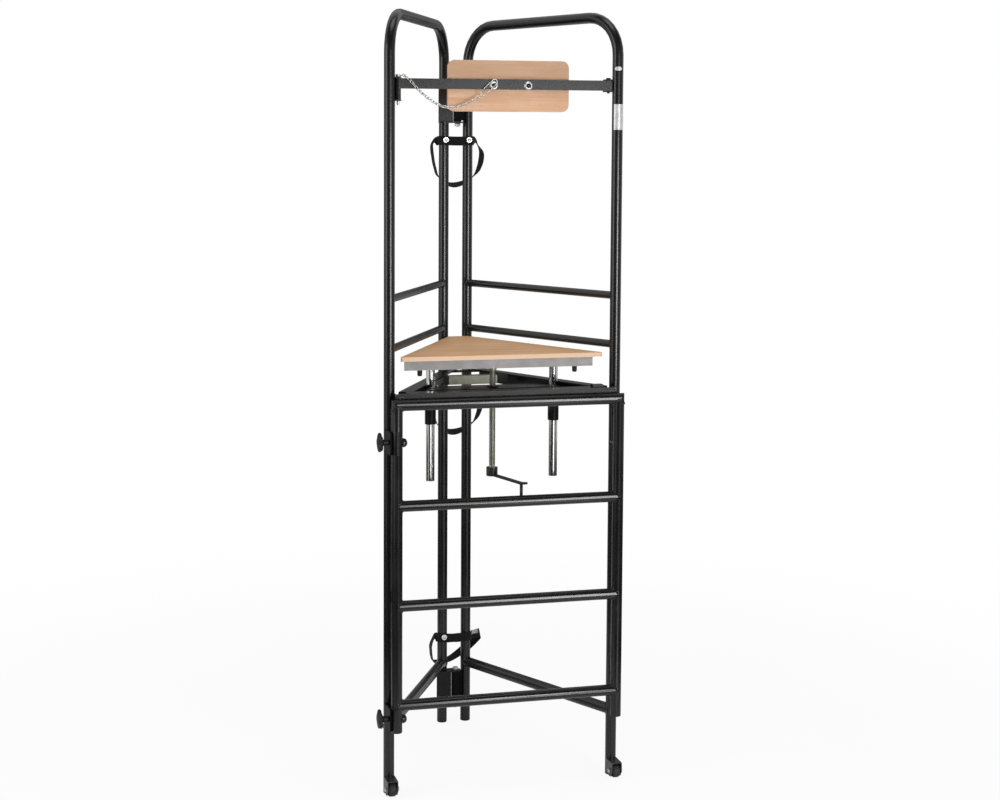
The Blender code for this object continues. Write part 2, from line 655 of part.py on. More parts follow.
def hinge_barrels(stile):
    """Hinge barrels welded behind the right stile. Returns the cutters for the hinge pins."""
    holes = []
    for level, height in HINGE_LUG_HEIGHTS.items():
        axis = Vector((LADDER_AXIS_X, LADDER_AXIS_Y, height))
        barrel = rod("ladder_barrel_" + level, axis + Vector((0, 0, 0.0055)),
                     axis + Vector((0, 0, 0.0355)), 0.008, 16)
        web = box("ladder_web_" + level, (LADDER_AXIS_X - 0.007, LADDER_Y + 0.010, height + 0.0055),
                  (LADDER_AXIS_X - 0.001, LADDER_AXIS_Y, height + 0.0355))
        fuse(stile, barrel, web)
        holes.append(rod("ladder_pin_hole_" + level, axis - Vector((0, 0, 0.02)),
                         axis + Vector((0, 0, 0.06)), PIN_D / 2 + RUN, 16))
    return holes


def ladder_lugs(steel, cutter):
    """Lugs with upright pins on the right front leg, which carry the gate."""
    for level, height in HINGE_LUG_HEIGHTS.items():
        low, high = height, height + 0.005
        outline = [(LADDER_AXIS_X + 0.010, 0), (LADDER_AXIS_X - 0.010, 0)]
        outline += arc((LADDER_AXIS_X, LADDER_AXIS_Y), 0.010, 180, 360, 8)
        lug = plate("ladder_hinge_lug_" + level, outline, low, high)
        pin = rod("ladder_hinge_pin_" + level, (LADDER_AXIS_X, LADDER_AXIS_Y, low + 0.001),
                  (LADDER_AXIS_X, LADDER_AXIS_Y, high + 0.038), PIN_D / 2, 16)
        finish(cut(fuse(lug, pin), cutter), steel)


# Clamps
def clamp(level, height, steel, plastic, cutter, frame_joint, knob_joint):
    """A tab on the left leg, and the star knob whose screw goes through it into the stile."""
    low, high = height - TAB_HEIGHT / 2, height + TAB_HEIGHT / 2
    outline = [(-0.004, low), (-0.004, high)] + rounded(
        [(-0.030, high), (LADDER_Y - 0.016, high), (LADDER_Y - 0.016, low), (-0.030, low)], 0.006, 3)
    tab = plate("clamp_tab_" + level, outline, TAB_X[0], TAB_X[1], "X")
    hole = rod("tab_hole_" + level, (TAB_X[0] - 0.01, LADDER_Y, height),
               (TAB_X[1] + 0.002, LADDER_Y, height), SCREW_D / 2 + RUN, 16)
    finish(cut(tab, hole, cutter), steel, frame_joint)

    lobes = []
    for step in range(60):
        angle = 2 * math.pi * step / 60
        radius = KNOB_D / 2 - 0.004 + 0.004 * math.cos(KNOB_LOBES * angle)
        lobes.append((LADDER_Y + radius * math.sin(angle), height + radius * math.cos(angle)))
    knob = plate("star_knob_" + level, lobes, KNOB_X, KNOB_X + KNOB_THICKNESS, "X")
    neck = rod("knob_neck_" + level, (KNOB_X + KNOB_THICKNESS - 0.001, LADDER_Y, height),
               (TAB_X[0] - GAP, LADDER_Y, height), 0.011, 16, NECK_D / 2)
    screw = rod("knob_screw_" + level, (KNOB_X + 0.004, LADDER_Y, height),
                (-LADDER_HALF + LEG_R + 0.007, LADDER_Y, height), SCREW_D / 2, 16)
    finish(fuse(knob, neck, screw), plastic, knob_joint)


# Backrest gate
def backrest_gate(steel, wood, zinc, bar_joint, pin_joint):
    sleeve_x = SLEEVE_X
    low, high = BAR_HEIGHT - BAR_H / 2, BAR_HEIGHT + BAR_H / 2
    bar = box("backrest_bar", (sleeve_x, -BAR_D / 2, low), (BAR_AXIS_X + BAR_END, BAR_D / 2, high))
    hollow = box("bar_hollow", (sleeve_x + SLEEVE_D / 2, BAR_WALL - BAR_D / 2, low + BAR_WALL),
                 (BAR_AXIS_X + BAR_END + 0.01, BAR_D / 2 - BAR_WALL, high - BAR_WALL))
    cut(bar, hollow)
    sleeve = rod("bar_sleeve", (sleeve_x, 0, SLEEVE_BOTTOM), (sleeve_x, 0, high + 0.0002), SLEEVE_D / 2, 20)
    fuse(bar, sleeve)
    bore = rod("bar_sleeve_bore", (sleeve_x, 0, SLEEVE_BOTTOM - 0.01), (sleeve_x, 0, high + 0.01),
               PIN_D / 2 + RUN, 16)
    pivot = rod("bar_pivot_bore", (BAR_AXIS_X, 0, low - 0.01), (BAR_AXIS_X, 0, high + 0.01),
                PIN_D / 2 + RUN, 16)
    finish(cut(bar, bore, pivot), steel, bar_joint)

    half = BACKREST_W / 2
    corners = [(BACKREST_X - half, BACKREST_Z - BACKREST_H / 2), (BACKREST_X + half, BACKREST_Z - BACKREST_H / 2),
               (BACKREST_X + half, BACKREST_Z + BACKREST_H / 2), (BACKREST_X - half, BACKREST_Z + BACKREST_H / 2)]
    back = BAR_D / 2 + GAP
    board = plate("backrest_board", rounded(corners, BACKREST_CORNER, 6), back, back + BACKREST_T, "Y")
    finish(board, wood, bar_joint)

    head_low = PIN_HEAD_Z
    shank, head_r, head_top = PIN_D / 2, PIN_HEAD_D / 2, head_low + PIN_HEAD_H
    profile = [(0, head_top), (head_r - 0.001, head_top), (head_r, head_top - 0.001), (head_r, head_low),
               (shank, head_low), (shank, PIN_TIP + 0.003), (shank - 0.002, PIN_TIP), (0, PIN_TIP)]
    pin = turned("drop_pin", profile, (sleeve_x, 0, 0), steps=20)
    ring_points = [(RING_X + RING_D / 2 * math.cos(a), RING_D / 2 * math.sin(a), head_low + PIN_HEAD_H / 2)
                   for a in (2 * math.pi * i / 16 for i in range(16))]
    ring_data = curve_data("pin_ring", ring_points, cyclic=True)
    ring_data.bevel_depth = RING_WIRE / 2
    ring_data.bevel_resolution = 2
    ring = mesh_of_curve("pin_ring", ring_data)
    finish(fuse(pin, ring), zinc, pin_joint)


def pin_bracket(steel, cutter, frame_joint):
    """A C-shaped bracket on the left front leg: an ear above and below the bar's end sleeve."""
    sleeve_x = SLEEVE_X
    high = BAR_HEIGHT + BAR_H / 2 + 2 * GAP
    low = SLEEVE_BOTTOM - GAP
    outline = [(-HALF_FRONT, -0.009), (sleeve_x + 0.0075, -0.009), (sleeve_x + 0.0075, 0.0125),
               (-HALF_FRONT, 0.0125)]
    bracket = plate("pin_bracket", outline, high, high + LUG_THICKNESS)
    under = plate("pin_bracket_base", outline, low - LUG_THICKNESS, low)
    back = box("pin_bracket_back", (-HALF_FRONT, 0.0095, low - LUG_THICKNESS),
               (sleeve_x + 0.0075, 0.0125, high + LUG_THICKNESS))
    hole = rod("pin_bracket_hole", (sleeve_x, 0, low - 0.01), (sleeve_x, 0, high + 0.01), PIN_D / 2 + RUN, 16)
    window = box("pin_bracket_window", (sleeve_x + 0.0005, 0.0, SLEEVE_BOTTOM + 0.012),
                 (sleeve_x + 0.02, 0.02, BAR_HEIGHT + BAR_H / 2 + GAP))
    finish(cut(fuse(bracket, under, back), hole, window, cutter), steel, frame_joint)


def bar_clevis(steel, cutter):
    """Ears with a pin on the right front leg, which carry the backrest bar."""
    low, high = BAR_HEIGHT - BAR_H / 2 - 2 * GAP, BAR_HEIGHT + BAR_H / 2 + 2 * GAP
    left = BAR_AXIS_X - 0.011
    outline = [(left, -0.009), (HALF_FRONT, -0.009), (HALF_FRONT, 0.0155), (left, 0.0155)]
    clevis = plate("bar_clevis", outline, high, high + LUG_THICKNESS)
    under = plate("bar_clevis_base", outline, low - LUG_THICKNESS, low)
    back = box("bar_clevis_back", (left, 0.0125, low - LUG_THICKNESS), (HALF_FRONT, 0.0155, high + LUG_THICKNESS))
    pin = rod("bar_hinge_pin", (BAR_AXIS_X, 0, low - LUG_THICKNESS - 0.004),
              (BAR_AXIS_X, 0, high + LUG_THICKNESS + 0.001), PIN_D / 2, 16)
    head = rod("bar_hinge_head", (BAR_AXIS_X, 0, high + LUG_THICKNESS - 0.001),
               (BAR_AXIS_X, 0, high + LUG_THICKNESS + 0.004), 0.0065, 6)
    finish(cut(fuse(clevis, under, back, pin, head), cutter), steel)


def chain_path():
    """The hanging chain's route, from the pin's ring to its hook on the bar's left bolt."""
    front = -BAR_D / 2 - CHAIN_D - GAP
    seat = -BAR_D / 2 - CHAIN_D / 2 - GAP
    start, end = (RING_X, PIN_HEAD_Z + PIN_HEAD_H / 2), (CHAIN_END_X, BAR_HEIGHT)
    shape = ((0.070, 0.14), (0.145, 0.36), (0.215, 0.54), (0.315, 0.75), (0.405, 0.89), (0.490, 0.97),
             (0.590, 1.0), (0.665, 0.97), (0.750, 0.82), (0.835, 0.55), (0.915, 0.31))
    route = [(start[0], -RING_D / 2 - RING_WIRE / 2 - CHAIN_D / 2 - GAP, start[1])]
    for share, sag in shape:
        top = start[1] if share < 0.5 else end[1]
        route.append((start[0] + (end[0] - start[0]) * share, front,
                      top + (BAR_HEIGHT - CHAIN_SLACK - top) * sag))
    return route + [(end[0], seat, end[1])]


def chain(zinc, joint):
    finish(wire("retaining_chain", smooth_route(chain_path(), 4), CHAIN_D, 8), zinc, joint)


def smooth_route(route, steps):
    """Points of a smooth curve through the route's own points."""
    points = [Vector(point) for point in route]
    out = []
    for i in range(len(points) - 1):
        a, b, c, d = points[max(0, i - 1)], points[i], points[i + 1], points[min(len(points) - 1, i + 2)]
        for step in range(steps):
            t = step / steps
            out.append(0.5 * ((2 * b) + (c - a) * t + (2 * a - 5 * b + 4 * c - d) * t * t
                              + (3 * b - a - 3 * c + d) * t ** 3))
    return out + [points[-1]]


# Tray
def tray(steel, grey, cutters):
    """The triangular carrier: three steel angles, a rear tube and the guide channel."""
    low = TRAY_TOP - ANGLE_H
    middle = TRAY_TOP - ANGLE_H / 2
    face = arc((EAR_X, middle), ANGLE_H / 2, -90, 90, 12) + arc((-EAR_X, middle), ANGLE_H / 2, 90, 270, 12)
    front = plate("tray_front_angle", face, TRAY_FRONT_Y, TRAY_FRONT_Y + ANGLE_T, "Y")
    back = TRAY_FRONT_Y + ANGLE_W
    ledge = box("tray_front_ledge", (-EAR_X + 0.017, TRAY_FRONT_Y + 0.001, TRAY_TOP - ANGLE_T),
                (EAR_X - 0.017, back, TRAY_TOP - 0.0002))
    fuse(front, ledge)
    stop_x = EAR_X - 0.017
    stop = box("corner_stop", (stop_x - STOP_W, back - STOP_D, TRAY_TOP - ANGLE_T / 2),
               (stop_x - 0.0005, back - 0.0005, TRAY_TOP + STOP_H))
    fuse(front, stop)
    holes = [rod("ear_hole_" + word, (side * EAR_X, TRAY_FRONT_Y - 0.02, middle + 0.004),
                 (side * EAR_X, TRAY_FRONT_Y + 0.02, middle + 0.004), 0.0043, 16)
             for side, word in ((-1, "left"), (1, "right"))]
    finish(cut(front, *holes), steel)

    start = back + GAP
    for side, word in ((-1, "left"), (1, "right")):
        bar = angle_bar("tray_side_angle_" + word, side, (start, TRAY_REAR_Y), TRAY_GAP,
                        (ANGLE_W, ANGLE_H, ANGLE_T), TRAY_TOP)
        cut(bar, rod("guide_notch_" + word, (side * GUIDE_X, LIFT_Y, low), (side * GUIDE_X, LIFT_Y, TRAY_TOP + 0.01),
                     GUIDE_D / 2 + 0.002, 24))
        if side > 0:
            under = TRAY_TOP - ANGLE_T - GAP
            tie = plate("tray_tie", across(TRAY_REAR_Y - 0.035, TRAY_REAR_Y, TRAY_GAP + ANGLE_T + GAP),
                        under - ANGLE_T, under)
            tail = box("tray_tail", (HALF_REAR - LEG_R + 0.0015, TRAY_REAR_Y - 0.030, under - ANGLE_T),
                       (HALF_REAR + LEG_R - 0.0015, FRAME_DEPTH, under))
            bond = box("tray_tie_weld", (0.020, TRAY_REAR_Y - 0.030, under - 0.001),
                       (0.045, TRAY_REAR_Y - 0.005, TRAY_TOP - 0.001))
            fuse(bar, tie, tail, bond)
            cut(bar, cutters["rear_right"])
        finish(bar, steel)

    y_low, y_high = REAR_TUBE_Y - REAR_TUBE_SIZE / 2, REAR_TUBE_Y + REAR_TUBE_SIZE / 2
    tube_low = REAR_TUBE_TOP - REAR_TUBE_SIZE
    rear = plate("tray_rear_tube", across(y_low, y_high, TRAY_GAP + ANGLE_W + GAP), tube_low, REAR_TUBE_TOP)
    wall = REAR_TUBE_WALL
    hollow = box("rear_tube_hollow", (-HALF_FRONT, y_low + wall, tube_low + wall),
                 (HALF_FRONT, y_high - wall, REAR_TUBE_TOP - wall))
    finish(cut(rear, hollow), grey)


def guide_channel(steel):
    """A channel across the tray with the two guide sleeves and the spindle nut welded in."""
    y_low, y_high = LIFT_Y - CHANNEL_W / 2, LIFT_Y + CHANNEL_W / 2
    inside = TRAY_GAP + ANGLE_T + GAP
    base = CHANNEL_TOP - CHANNEL_H
    channel = plate("guide_channel", across(y_low, y_high, inside), base, CHANNEL_TOP)
    cut(channel, box("channel_hollow", (-HALF_FRONT, y_low + ANGLE_T, base - 0.01),
                     (HALF_FRONT, y_high - ANGLE_T, CHANNEL_TOP - ANGLE_T)))
    bores = []
    for side, word in ((-1, "left"), (1, "right")):
        place = Vector((side * GUIDE_X, LIFT_Y, 0))
        sleeve = rod("guide_sleeve_" + word, place + Vector((0, 0, SLEEVE_TUBE_BOTTOM)),
                     place + Vector((0, 0, CHANNEL_TOP + 0.001)), SLEEVE_TUBE_D / 2, 24)
        fuse(channel, sleeve)
        bores.append(rod("sleeve_bore_" + word, place + Vector((0, 0, SLEEVE_TUBE_BOTTOM - 0.01)),
                         place + Vector((0, 0, CHANNEL_TOP + 0.01)), GUIDE_D / 2 + RUN, 24))
    nut = rod("spindle_nut", (0, LIFT_Y, NUT_BOTTOM), (0, LIFT_Y, CHANNEL_TOP + 0.002), NUT_D / 2, 24)
    fuse(channel, nut)
    bores.append(rod("nut_bore", (0, LIFT_Y, NUT_BOTTOM - 0.01), (0, LIFT_Y, CHANNEL_TOP + 0.01),
                     SPINDLE_D / 2 + RUN, 24))
    finish(cut(channel, *bores), steel)


def tray_tab(side, word, steel, cutter, joint=None):
    """An angle on a front leg that the tray's ear is bolted to."""
    middle = TRAY_TOP - ANGLE_H / 2
    low, high = middle - 0.018, middle + 0.018
    front = TRAY_FRONT_Y + ANGLE_T + GAP
    near, far = EAR_X - 0.016, EAR_X + 0.018
    outline = [(near, front), (far, front), (far, -0.004), (far - ANGLE_T, -0.004),
               (far - ANGLE_T, front + ANGLE_T), (near, front + ANGLE_T)]
    outline = [(side * x, y) for x, y in outline]
    tab = plate("tray_tab_" + word, outline, low, high)
    hole = rod("tab_bolt_hole_" + word, (side * EAR_X, front - 0.01, middle + 0.004),
               (side * EAR_X, front + 0.02, middle + 0.004), 0.0043, 16)
    finish(cut(tab, hole, cutter), steel, joint)


# Platform
def platform(wood, grey, zinc, rubber, joint):
    corners = [(-edge_x(BOARD_FRONT_Y, TRAY_GAP), BOARD_FRONT_Y), (edge_x(BOARD_FRONT_Y, TRAY_GAP), BOARD_FRONT_Y),
               (edge_x(BOARD_REAR_Y, TRAY_GAP), BOARD_REAR_Y), (-edge_x(BOARD_REAR_Y, TRAY_GAP), BOARD_REAR_Y)]
    board = plate("platform_board", rounded(corners, BOARD_CORNER, 4), BOARD_BOTTOM, BOARD_TOP)
    finish(board, wood, joint)

    inset = TRAY_GAP + 0.001
    leg, wall = PLATFORM_ANGLE, PLATFORM_ANGLE_T
    y_back = PLATFORM_FRONT_Y + leg
    front = plate("platform_front_angle", across(PLATFORM_FRONT_Y, y_back, inset), PLATFORM_BOTTOM, PLATFORM_TOP)
    cut(front, box("front_angle_inside", (-HALF_FRONT, PLATFORM_FRONT_Y + wall, PLATFORM_BOTTOM - 0.01),
                   (HALF_FRONT, y_back + 0.01, PLATFORM_TOP - wall)))
    finish(front, grey, joint)
    for side, word in ((-1, "left"), (1, "right")):
        bar = angle_bar("platform_side_angle_" + word, side, (y_back + GAP, PLATFORM_REAR_Y), inset,
                        (leg, leg, wall), PLATFORM_TOP)
        finish(bar, grey, joint)
        stem_top = PLATFORM_TOP - wall - GAP
        foot = PLATFORM_BOTTOM - BUMPER_DROP
        radius = BUMPER_D / 2
        profile = [(0, stem_top), (radius - 0.002, stem_top), (radius - 0.002, PLATFORM_BOTTOM + 0.002),
                   (radius, PLATFORM_BOTTOM), (radius, foot + 0.005), (radius - 0.004, foot), (0, foot)]
        finish(turned("bumper_" + word, profile, (side * BUMPER_X, BUMPER_Y, 0), steps=20), rubber, joint)


def carriage(zinc, joint):
    """The cross bar under the platform frame with the two guide tubes welded to it."""
    y_low, y_high = LIFT_Y - CARRIAGE_W / 2, LIFT_Y + CARRIAGE_W / 2
    bar = plate("lift_carriage", across(y_low, y_high, TRAY_GAP + 0.004), CARRIAGE_BOTTOM, CARRIAGE_TOP)
    hollows = []
    for side, word in ((-1, "left"), (1, "right")):
        place = Vector((side * GUIDE_X, LIFT_Y, 0))
        fuse(bar, rod("guide_tube_" + word, place + Vector((0, 0, GUIDE_BOTTOM)),
                      place + Vector((0, 0, CARRIAGE_TOP - 0.001)), GUIDE_D / 2, 24))
        hollows.append(rod("guide_hollow_" + word, place + Vector((0, 0, GUIDE_BOTTOM - 0.01)),
                           place + Vector((0, 0, CARRIAGE_BOTTOM - 0.002)), GUIDE_D / 2 - TUBE_WALL, 20))
    hollows.append(rod("carriage_bore", (0, LIFT_Y, CARRIAGE_BOTTOM - 0.01), (0, LIFT_Y, CARRIAGE_TOP + 0.01),
                       0.006 + RUN, 20))
    finish(cut(bar, *hollows), zinc, joint)


def spindle_and_crank(steel, zinc, joint):
    """The spindle hangs in the carriage by its neck, and carries the crank at its foot."""
    radius = SPINDLE_D / 2
    shoulder = CARRIAGE_BOTTOM - GAP
    collar = shoulder - 0.006
    above = CARRIAGE_TOP + GAP
    foot = HUB_Z[0] - 0.002
    profile = [(0, above + 0.010), (0.011, above + 0.010), (0.011, above), (0.006, above), (0.006, shoulder),
               (0.012, shoulder), (0.012, collar), (radius, collar), (radius, foot + 0.002),
               (radius - 0.002, foot), (0, foot)]
    finish(turned("spindle", profile, (0, LIFT_Y, 0)), zinc, joint)

    low, high = HUB_Z
    hub = rod("crank", (0, LIFT_Y, low), (0, LIFT_Y, high), HUB_D / 2, 24)
    reach = Vector((CRANK_X, CRANK_Y, 0))
    ahead = reach.normalized()
    root = Vector((0, LIFT_Y, low + ARM_T / 2 + GAP))
    end = root + reach - Vector((0, 0, CRANK_DROP))
    slope = (end - root) / reach.length
    arm = bar_between("crank_arm", root - slope * (HUB_D / 2 - 0.002), end, ARM_W, ARM_T)
    tip = bar_between("crank_tip", end - slope * 0.003, end + ahead * CRANK_TIP + Vector((0, 0, ARM_T / 2)),
                      ARM_W, ARM_T)
    grip = rod("crank_grip", end, end - Vector((0, 0, GRIP_LENGTH)), GRIP_D / 2, 16)
    bore = rod("hub_bore", (0, LIFT_Y, low - 0.01), (0, LIFT_Y, high + 0.01), radius + RUN / 2, 24)
    finish(cut(fuse(hub, arm, tip, grip), bore), steel, joint)


def bar_between(name, start, end, width, thickness):
    along = end - start
    turn = along.to_track_quat("X", "Z").to_matrix().to_4x4()
    bar = box(name, (0, -width / 2, -thickness / 2), (along.length, width / 2, thickness / 2))
    bar.data.transform(Matrix.Translation(start) @ turn)
    return bar


# Straps
def round_leg(side, height):
    """Stations of a strap that lies on a rear leg's front and eases off round its outer side."""
    stations = []
    for angle, ease in ((-90, 0), (-67.5, 0.0004), (-45, 0.0009), (-22.5, 0.0013), (0, 0.0015)):
        wrap = LEG_R + GAP + ease + STRAP_T / 2
        turn = math.radians(angle)
        place = (side * (HALF_REAR + wrap * math.cos(turn)), FRAME_DEPTH + wrap * math.sin(turn), height)
        stations.append((place, Vector((0, 0, 1))))
    return stations


def strap_stations(level, height, drop):
    """(place, width direction) round one strap: across both legs in front, then a loop behind."""
    rear = FRAME_DEPTH + LEG_R
    right, left = round_leg(1, height), round_leg(-1, height)
    left.reverse()
    if level == "lower":  # it has slipped down and folds over on the right
        shape = ((0.74, -0.12, 0.10), (0.86, 0.02, 0.32), (0.97, 0.28, 0.46), (0.74, 0.48, 0.63),
                 (0.35, 0.62, 0.83), (-0.09, 0.71, 0.94), (-0.71, 0.66, 0.99), (-0.88, 0.48, 0.81), (-0.96, 0.33, 0.53),
                 (-0.98, 0.15, 0.33), (-0.91, 0.01, 0.10))
    else:
        shape = ((0.78, 0.09, 0.055), (0.95, 0.28, 0.20), (1.0, 0.48, 0.35), (0.96, 0.67, 0.56),
                 (0.82, 0.86, 0.78), (0.40, 0.95, 0.96), (-0.05, 1.0, 1.0), (-0.62, 0.86, 0.82),
                 (-0.78, 0.71, 0.62), (-0.90, 0.57, 0.40), (-0.99, 0.24, 0.08))
    middle = (STRAP_RIGHT - STRAP_LEFT) / 2
    loop = [right[-1]]
    for across_share, back, down in shape:
        x = across_share * (STRAP_RIGHT if across_share > 0 else STRAP_LEFT)
        place = Vector((x, rear + back * STRAP_BACK, height - down * drop))
        outward = Vector((x - middle, 0, height - drop / 2 - place.z)).normalized()
        outward.z = -outward.z
        lean = 0.6 if x > middle else 0.25
        loop.append((tuple(place), Vector((0.2, 1, 0)) + outward * lean))
    loop.append(left[0])
    places = smooth_route([place for place, _ in loop], 3)
    widths = smooth_route([width.normalized() for _, width in loop], 3)
    return right[:-1] + list(zip(places, widths)) + left[1:]


def strap(level, height, drop, webbing):
    stations = [(Vector(place), width) for place, width in strap_stations(level, height, drop)]
    bm = bmesh.new()
    rings = []
    count = len(stations)
    for i, (place, width) in enumerate(stations):
        along = (stations[(i + 1) % count][0] - stations[i - 1][0]).normalized()
        across_way = (width - along * width.dot(along)).normalized()
        out = along.cross(across_way) * STRAP_T / 2
        half = across_way * STRAP_W / 2
        rings.append([bm.verts.new(place + w + t) for w, t in
                      ((half, out), (-half, out), (-half, -out), (half, -out))])
    for i, ring in enumerate(rings):
        after = rings[(i + 1) % count]
        for k in range(4):
            bm.faces.new((ring[k], ring[(k + 1) % 4], after[(k + 1) % 4], after[k]))
    bmesh.ops.recalc_face_normals(bm, faces=bm.faces)
    finish(mesh_object("post_strap_" + level, bm), webbing)


def centre_footprint():
    """Moves the whole stand so that the origin lies on the floor at the middle of its bounding box."""
    bpy.context.view_layer.update()
    graph = bpy.context.evaluated_depsgraph_get()
    corners = [obj.matrix_world @ Vector(corner) for obj in PARTS.objects if obj.type == "MESH"
               for corner in obj.evaluated_get(graph).bound_box]
    for axis in (0, 1):
        reach = [corner[axis] for corner in corners]
        STAND.location[axis] = -(min(reach) + max(reach)) / 2
    print("stand moved by", *(round(value, 6) for value in STAND.location))


def main():
    global PARTS, CUTTERS, STAND
    clear_scene()
    PARTS, CUTTERS = new_collection("post_mounted_referee_stand"), new_collection("cutters")
    STAND = bpy.data.objects.new("stand", None)
    PARTS.objects.link(STAND)

    black = material("black_powder_coat", (0.012, 0.012, 0.013), 0.38)
    grey = material("grey_paint", (0.27, 0.27, 0.26), 0.5)
    zinc = material("zinc_plate", (0.62, 0.63, 0.62), 0.3, 1.0)
    beech = material("beech_plywood", (0.60, 0.38, 0.22), 0.45)
    rubber = material("black_rubber", (0.015, 0.015, 0.015), 0.8)
    plastic = material("black_plastic", (0.02, 0.02, 0.02), 0.5)
    webbing = material("black_webbing", (0.01, 0.01, 0.01), 0.85)

    left_frame = empty("left_frame_hinge", (0, HINGE_Y, 0))
    gate = empty("ladder_gate_hinge", (LADDER_AXIS_X, LADDER_AXIS_Y, 0))
    bar = empty("backrest_hinge", (BAR_AXIS_X, 0, BAR_HEIGHT))
    pin = empty("drop_pin_slide", (-HALF_FRONT, 0, BAR_HEIGHT))
    lift = empty("platform_lift", (0, LIFT_Y, TRAY_TOP))
    crank = empty("crank_turn", (0, LIFT_Y, HUB_Z[0]))

    front_left, rear_left = side_frame(-1, "left", black, left_frame)
    front_right, rear_right = side_frame(1, "right", black, None)
    leg_cutters = {"left": front_left, "right": front_right}
    for side, word, joint in ((-1, "left", left_frame), (1, "right", None)):
        for place, name in zip(leg_places(side), ("front", "rear")):
            foot_plug(f"foot_plug_{name}_{word}", place, plastic, joint)
        spin = empty(f"wheel_{word}_spin", (side * HALF_FRONT, WHEEL_Y, WHEEL_Z))
        wheel_set(side, word, black, rubber, leg_cutters[word], joint, spin)
    for level, bottom in HINGE_BOTTOMS.items():
        rear_hinge(level, bottom, black, zinc, (rear_left, rear_right), left_frame)

    ladder(black, gate)
    ladder_lugs(black, front_right)
    for level, height in CLAMP_HEIGHTS.items():
        knob = empty(f"star_knob_{level}_turn", (KNOB_X, LADDER_Y, height))
        clamp(level, height, black, plastic, front_left, left_frame, knob)

    backrest_gate(black, beech, zinc, bar, pin)
    pin_bracket(black, front_left, left_frame)
    bar_clevis(black, front_right)
    chain(zinc, bar)

    tray(black, grey, {"rear_right": rear_right})
    guide_channel(black)
    tray_tab(-1, "left", black, front_left, left_frame)
    tray_tab(1, "right", black, front_right)
    platform(beech, grey, zinc, rubber, lift)
    carriage(zinc, lift)
    spindle_and_crank(black, zinc, crank)
    for level, height in STRAP_HEIGHTS.items():
        strap(level, height, STRAP_DROPS[level], webbing)
    centre_footprint()


main()
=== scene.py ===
"""Studio scene of the folding post-mounted referee stand.

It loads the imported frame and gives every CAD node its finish. It shows the round nodes as smooth copies, and
models what the solids only outline or leave out: straps, chain, knobs, thread, bumpers, hinge lips, bolts, welds
and foil patches. Then it sets the floor, the lights and the camera."""

import json
import math

import bmesh
import bpy
from mathutils import Matrix, Vector


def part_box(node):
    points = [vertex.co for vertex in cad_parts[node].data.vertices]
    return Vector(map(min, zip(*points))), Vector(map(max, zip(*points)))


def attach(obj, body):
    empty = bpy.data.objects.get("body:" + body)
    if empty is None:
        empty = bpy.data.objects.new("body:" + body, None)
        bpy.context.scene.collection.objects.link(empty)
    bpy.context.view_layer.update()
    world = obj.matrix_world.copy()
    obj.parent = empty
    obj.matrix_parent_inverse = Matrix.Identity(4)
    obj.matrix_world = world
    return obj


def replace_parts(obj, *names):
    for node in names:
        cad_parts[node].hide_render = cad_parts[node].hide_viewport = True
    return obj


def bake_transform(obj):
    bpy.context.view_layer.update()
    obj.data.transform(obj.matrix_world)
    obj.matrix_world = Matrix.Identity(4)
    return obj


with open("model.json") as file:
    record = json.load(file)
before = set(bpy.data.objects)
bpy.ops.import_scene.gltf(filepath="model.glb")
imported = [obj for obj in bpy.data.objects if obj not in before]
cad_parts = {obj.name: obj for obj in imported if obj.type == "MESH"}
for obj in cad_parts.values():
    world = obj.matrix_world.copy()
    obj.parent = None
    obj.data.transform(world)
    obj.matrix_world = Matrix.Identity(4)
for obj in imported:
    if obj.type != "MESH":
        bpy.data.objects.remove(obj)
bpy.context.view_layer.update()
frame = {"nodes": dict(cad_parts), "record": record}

NODES = frame["nodes"]


def middle_of(node):
    low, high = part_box(node)
    return (low + high) / 2


# Places as the stand's maker measures them: across from its middle, back from the front legs, up from the floor
FRONT_RIGHT, REAR_RIGHT = middle_of("foot_plug_front_right"), middle_of("foot_plug_rear_right")
ORIGIN = Vector(((middle_of("foot_plug_front_left").x + FRONT_RIGHT.x) / 2, FRONT_RIGHT.y, 0))
HALF_FRONT, HALF_REAR = FRONT_RIGHT.x - ORIGIN.x, REAR_RIGHT.x - ORIGIN.x
DEPTH = REAR_RIGHT.y - ORIGIN.y
LEG_R = 0.0155  # the radius of the legs, stiles and ladder rungs
GAP = 0.0003  # between pieces that touch
LEVELS = "upper", "middle", "lower"
SIDES = ((-1, "left"), (1, "right"))


def at(x, y, z):
    return ORIGIN + Vector((x, y, z))


def across(node):
    """A node's lowest and highest corner, in the maker's measures."""
    low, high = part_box(node)
    return low - ORIGIN, high - ORIGIN


BAR_D = 0.0153  # the backrest bar from its front to the board behind it
BAR_OVER_BOARD = 0.004  # the bar's middle above the board's
BOARD_LOW, BOARD_HIGH = across("backrest_board")
BAR_FRONT = BOARD_LOW.y - BAR_D
BAR_Z = (BOARD_LOW.z + BOARD_HIGH.z) / 2 + BAR_OVER_BOARD
BOLTS_X = (-0.0355, 0.0645)  # the two bolts that hold the backrest to its bar
BOLT_Z = BAR_Z - 0.003


